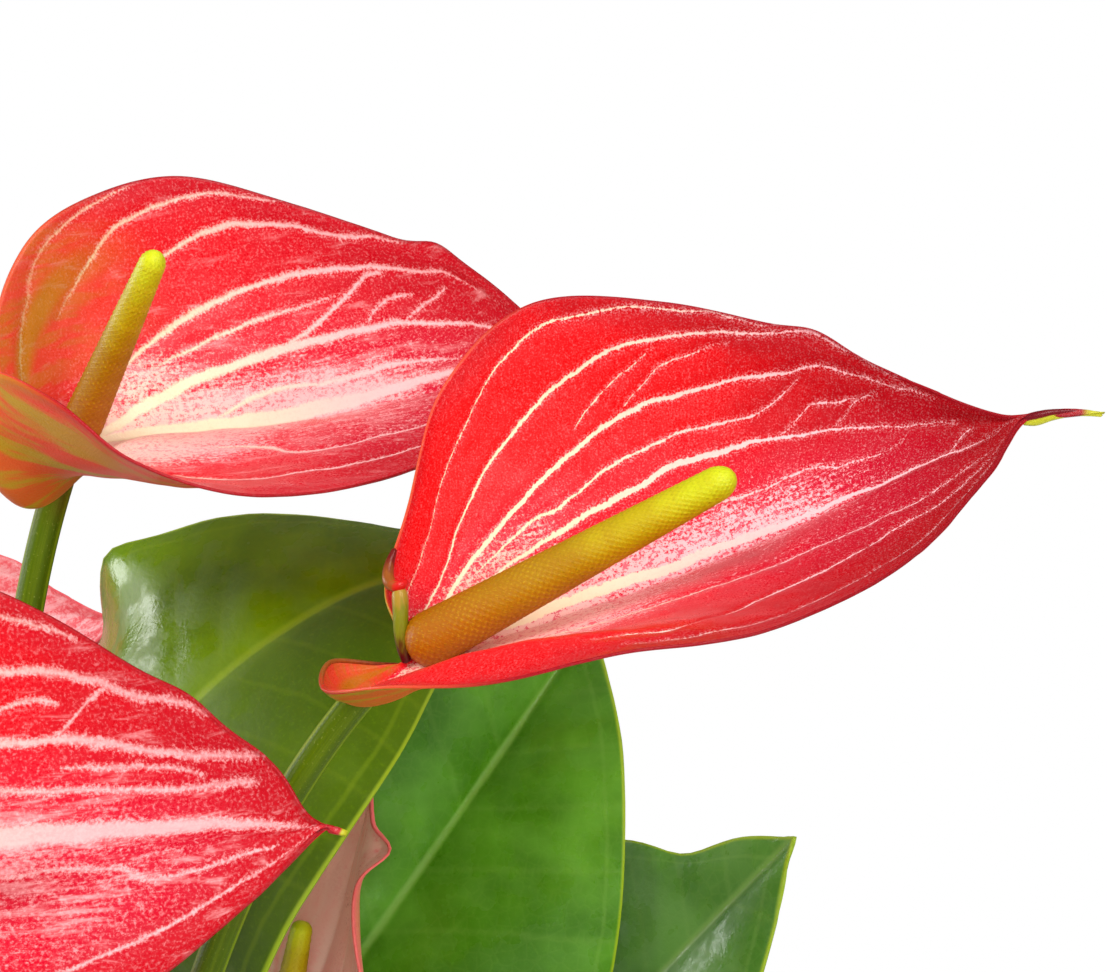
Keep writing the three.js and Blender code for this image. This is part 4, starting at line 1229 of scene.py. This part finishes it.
def leafFront(name, dark, light, vein, ribbing, paintedShadeHalf=0.0):
    # `ribbing` is how strongly the side veins show, `paintedShadeHalf` how far one half is darkened as
    # painted shade and made duller
    material, tree = newFinish(name, 0.28, Specular_IOR_Level=0.35)
    v = surfacePlace(tree)[1]
    rib, aside, margin = attribute(tree, "rib"), attribute(tree, "aside"), attribute(tree, "margin")
    place = objectPlace(tree)
    cloud = speckle(place, 0.05, 3.0, 0.55)
    grain = speckle(place, 1.6, 3.0, 0.6)
    skin = blend(fade(cloud, 0.3, 0.7), colour(dark), colour(light))
    cells = {"Vector": place, "Scale": 0.42}
    net = newPattern(tree, "ShaderNodeTexVoronoi", cells, feature="DISTANCE_TO_EDGE")
    skin = blend(fade(net, 0.12, 0.0) * 0.07, skin, colour(vein))
    # painted shade: one half of the blade is darkened as if turned away from the light
    skin = blend(fade(v, 0.52, 0.44, 0.0, paintedShadeHalf), skin, colour("345000"))
    swayed = (speckle(place, 0.12, 2.0) - 0.5) * 0.16 + rib
    offRib = abs(swayed - swayed.math("ROUND"))
    ribLines = fade(offRib, 0.085, 0.01) * ribbing
    skin = blend(ribLines, skin, colour(vein))
    skin = blend(fade(aside, 1.5, 0.3) * 0.6, skin, colour(vein))
    collecting = abs(margin - (cloud * 3.0 + 3.0))
    skin = blend(fade(collecting, 0.8, 0.1) * 0.18, skin, colour(vein))
    skin = blend(fade(grain, 0.5, 0.8, 0.0, 0.3), skin, colour(light))
    skin = blend(fade(margin, 1.0, 0.2) * 0.8, skin, colour("a6be24"))
    sheen = fade(speckle(place, 0.12, 3.0, 0.6), 0.42, 0.58, 0.16, 0.44)
    sheen = grain * 0.1 + (sheen + fade(v, 0.56, 0.46, 0.0, 0.6 * paintedShadeHalf))
    relief = ribLines * -1.2 + (fade(net, 0.0, 0.3) * 0.35 + grain)
    return painted(material, skin, relief, 0.05, roughness=sheen)


def leafBack(name, code="7f9a46", vein="a9bb62"):
    # the lower face is paler and duller, with raised veins
    material, tree = newFinish(name, 0.5, Specular_IOR_Level=0.3)
    rib, aside = attribute(tree, "rib"), attribute(tree, "aside")
    place = objectPlace(tree)
    grain = speckle(place, 1.2, 3.0, 0.6)
    offRib = abs(rib - rib.math("ROUND"))
    ribs = fade(offRib, 0.11, 0.0) * fade(rib, 17.6, 19.6, 0.15, 0.7)
    lines = larger(ribs, fade(aside, 2.0, 0.6))
    skin = blend(grain, colour(code), colour("63812f"))
    skin = blend(lines * 0.65, skin, colour(vein))
    return painted(material, skin, lines * 2.0 + grain, 0.2)


def stalkFinish(name, low="4c6a00", high="4a6000", blush="6e5004"):
    # green with fine lengthwise streaks, pale ridges, small pale dots and a brownish flush
    material, tree = newFinish(name, 0.45, Specular_IOR_Level=0.18)
    u, v = surfacePlace(tree)
    place = objectPlace(tree)
    angle = v * (2 * math.pi)
    ring = {0: angle.math("COSINE"), 1: angle.math("SINE"), 2: u}
    around = newPattern(tree, "ShaderNodeCombineXYZ", ring)
    streak = speckle(stretched(around, (4, 4, 5)), 1.0, 3.0, 0.6)
    patch = speckle(place, 0.045, 2.0)
    dots = speckle(place, 2.2, 1.0)
    skin = blend(fade(u, 0.0, 0.75), colour(low), colour(high))
    skin = blend(fade(streak, 0.4, 0.7, 0.0, 0.3), skin, colour("7c9008"))
    offRidge = (v - 0.055).math("PINGPONG", 0.195)
    skin = blend(fade(offRidge, 0.04, 0.012, 0.0, 0.55), skin, colour("94a818"))
    skin = blend(fade(patch, 0.52, 0.68, 0.0, 0.6), skin, colour(blush))
    skin = blend(fade(dots, 0.64, 0.76, 0.0, 0.25), skin, colour("a4ac4e"))
    skin = blend(fade(u, 0.05, 0.0, 0.0, 0.8), skin, colour("b89a6a"))
    return painted(material, skin, streak * 1.5 + dots, 0.08)


# Finishes of the crowns, the mix and the pot

def barkFinish(name, dark, light, ringed=True):
    material, tree = newFinish(name, 0.8)
    place = objectPlace(tree)
    flow = stretched(place, (0.5, 0.5, 2.2) if ringed else (1.0, 1.0, 1.0))
    grain = speckle(flow, 0.8, 5.0, 0.65)
    fine = speckle(place, 4.0, 3.0, 0.6)
    skin = blend(fade(grain, 0.35, 0.68), colour(dark), colour(light))
    skin = blend(fade(fine, 0.6, 0.75, 0.0, 0.35), skin, colour("a58a62"))
    return painted(material, skin, grain * 2.0 + fine, 0.35)


def perliteFinish():
    material, tree = newFinish("perlite", 0.85)
    grain = speckle(objectPlace(tree), 2.5, 4.0, 0.6)
    return painted(material, blend(grain, colour("cfcabd"), colour("f0ede4")), grain, 0.2)


def glazeFinish():
    # warm white glaze with faint throwing lines and tiny iron specks, bare clay under the foot
    material, tree = newFinish("pot_glaze", 0.25, Coat_Weight=0.35, Coat_Roughness=0.12)
    place = objectPlace(tree)
    height = newPattern(tree, "ShaderNodeSeparateXYZ", {0: place}, 2)
    cloud = speckle(place, 0.025, 3.0, 0.5)
    lines = speckle(stretched(place, (0.01, 0.01, 0.6)), 1.0, 2.0)
    specks = speckle(place, 0.9, 2.0, 0.5)
    skin = blend(cloud, colour("e9e3d6"), colour("f4f1ea"))
    skin = blend(fade(lines, 0.4, 0.7, 0.0, 0.25), skin, colour("d9d0bf"))
    skin = blend(fade(specks, 0.72, 0.78, 0.0, 0.7), skin, colour("8c765c"))
    skin = blend(fade(height, 1.6, 0.6), skin, colour("c8b59a"))
    return painted(material, skin, lines + cloud, 0.12, roughness=fade(height, 1.6, 0.6, 0.22, 0.8))


def floorFinish():
    material, tree = newFinish("floor", 0.7)
    return painted(material, blend(speckle(objectPlace(tree), 0.06, 3.0), colour("f1f1ef"), colour("f7f7f5")))


# The plant is put together

frontFinishes = {number: spatheFront(f"spathe_front_{number}", bloom) for number, bloom in blooms.items()}
backFinishes = {number: spatheBack(f"spathe_back_{number}", bloom) for number, bloom in blooms.items()}
jointFinishes = {
    "strip": lipFinish("upper_lip", "4c0410", "7c8212", "a8862a"),
    "curl": lipFinish("lower_lip", "6c1410", "94501a", "cc1414"),
    "drip": dripFinish(),
}
stalkGreen = stalkFinish("stalk_green")
for number, bloom in blooms.items():
    faces = frontFinishes[number], backFinishes[number]
    makeSpathe(number, bloom, {"faces": faces, **jointFinishes})
    makeSpadix(number, bloom, spadixFinish(f"spadix_{number}"))
    makeFlowerStalk(number, bloom, stalkGreen)
print("blooms ready")

plainGreens = ("42700e", "548216", "88a838", 0.2)
# the fifth number, given only for leaf 1, is the painted shade on one half of its blade
leafGreens = {
    1: ("547200", "6c8e00", "8ea818", 0.07, 0.6),
    2: ("407808", "62a028", "86b44a", 0.1),
    3: ("487a28", "649640", "86ac54", 0.12),
}
backGreen = leafBack("leaf_back")
petioleGreen = stalkFinish("petiole_green", "70802a", "55701a", "6a5a1c")
for number, leaf in leaves.items():
    front = leafFront(f"leaf_front_{number}", *leafGreens.get(number, plainGreens))
    makeLeaf(number, leaf, [front, backGreen, petioleGreen])
print("leaves ready")

crownBark = barkFinish("crown_bark", "3c3418", "77703a")
sheathPaper = barkFinish("sheath_paper", "6b4a28", "b08c5c")
rootSkin = barkFinish("root_skin", "6f6a3c", "a79c68")
for number, middle in crowns.items():
    makeCrown(number, middle, crownBark, sheathPaper, rootSkin)
soilDark = barkFinish("soil", "1c120a", "3e2a1a", False)
barkChip = barkFinish("bark_chip", "3a2314", "7c5634", False)
makeMix(soilDark, barkChip, perliteFinish())
makePot(glazeFinish())
print("pot ready")

floorSize = 0.65
deselectAll()
bpy.ops.mesh.primitive_circle_add(vertices=128, radius=floorSize, fill_type="NGON", location=(0, 0, -0.0002))
floor = bpy.context.object
floor.name = "floor"
floor.data.materials.append(floorFinish())

view = {"place": (0.0695, -0.5053, 0.446), "pitch": 10, "lens": 100, "sensor": 36}
cameraData = bpy.data.cameras.new("camera")
cameraData.lens = view["lens"]
cameraData.sensor_width = view["sensor"]
cameraData.clip_start = 0.01
camera = bpy.data.objects.new("camera", cameraData)
bpy.context.collection.objects.link(camera)
camera.location = view["place"]
camera.rotation_euler = math.radians(90 - view["pitch"]), 0, 0
bpy.context.scene.camera = camera

world = bpy.data.worlds.new("studio")
bpy.context.scene.world = world
world.use_nodes = True
tree = world.node_tree
background = tree.nodes["Background"].inputs
seen = newPattern(tree, "ShaderNodeLightPath", {}, "Is Camera Ray")
glossy = newPattern(tree, "ShaderNodeLightPath", {}, "Is Glossy Ray")
put(background["Color"], (1, 1, 1, 1))
put(background["Strength"], glossy * -0.48 + (seen * 0.4 + 0.6))


def areaLight(name, place, aim, size, power, glossy=False):
    light = bpy.data.lights.new(name, "AREA")
    light.size = size
    light.energy = power
    lamp = bpy.data.objects.new(name, light)
    bpy.context.collection.objects.link(lamp)
    lamp.location = place
    lamp.visible_glossy = glossy
    lamp.rotation_euler = (Vector(aim) - Vector(place)).to_track_quat("-Z", "Y").to_euler()
    return lamp


areaLight("key", (-0.5, -0.7, 1.15), (0, 0, 0.28), 0.6, 10)
areaLight("front", (0.1, -1.13, 0.62), (0, 0, 0.28), 0.4, 3)
spark = areaLight("spark", (0.4, -0.64, 1.07), (0.075, 0, 0.38), 0.4, 4, glossy=True)
spark.visible_diffuse = False
window = areaLight("window", (-0.87, 0.31, 0.52), (0, 0.04, 0.33), 0.42, 5, glossy=True)
window.visible_diffuse = False
areaLight("fill", (0.9, -0.8, 0.7), (0, 0, 0.25), 0.8, 5.5)
areaLight("rear", (0.1, 1.0, 0.9), (0, 0, 0.3), 0.8, 5)
bpy.context.scene.view_settings.view_transform = "Standard"
print("studio ready")
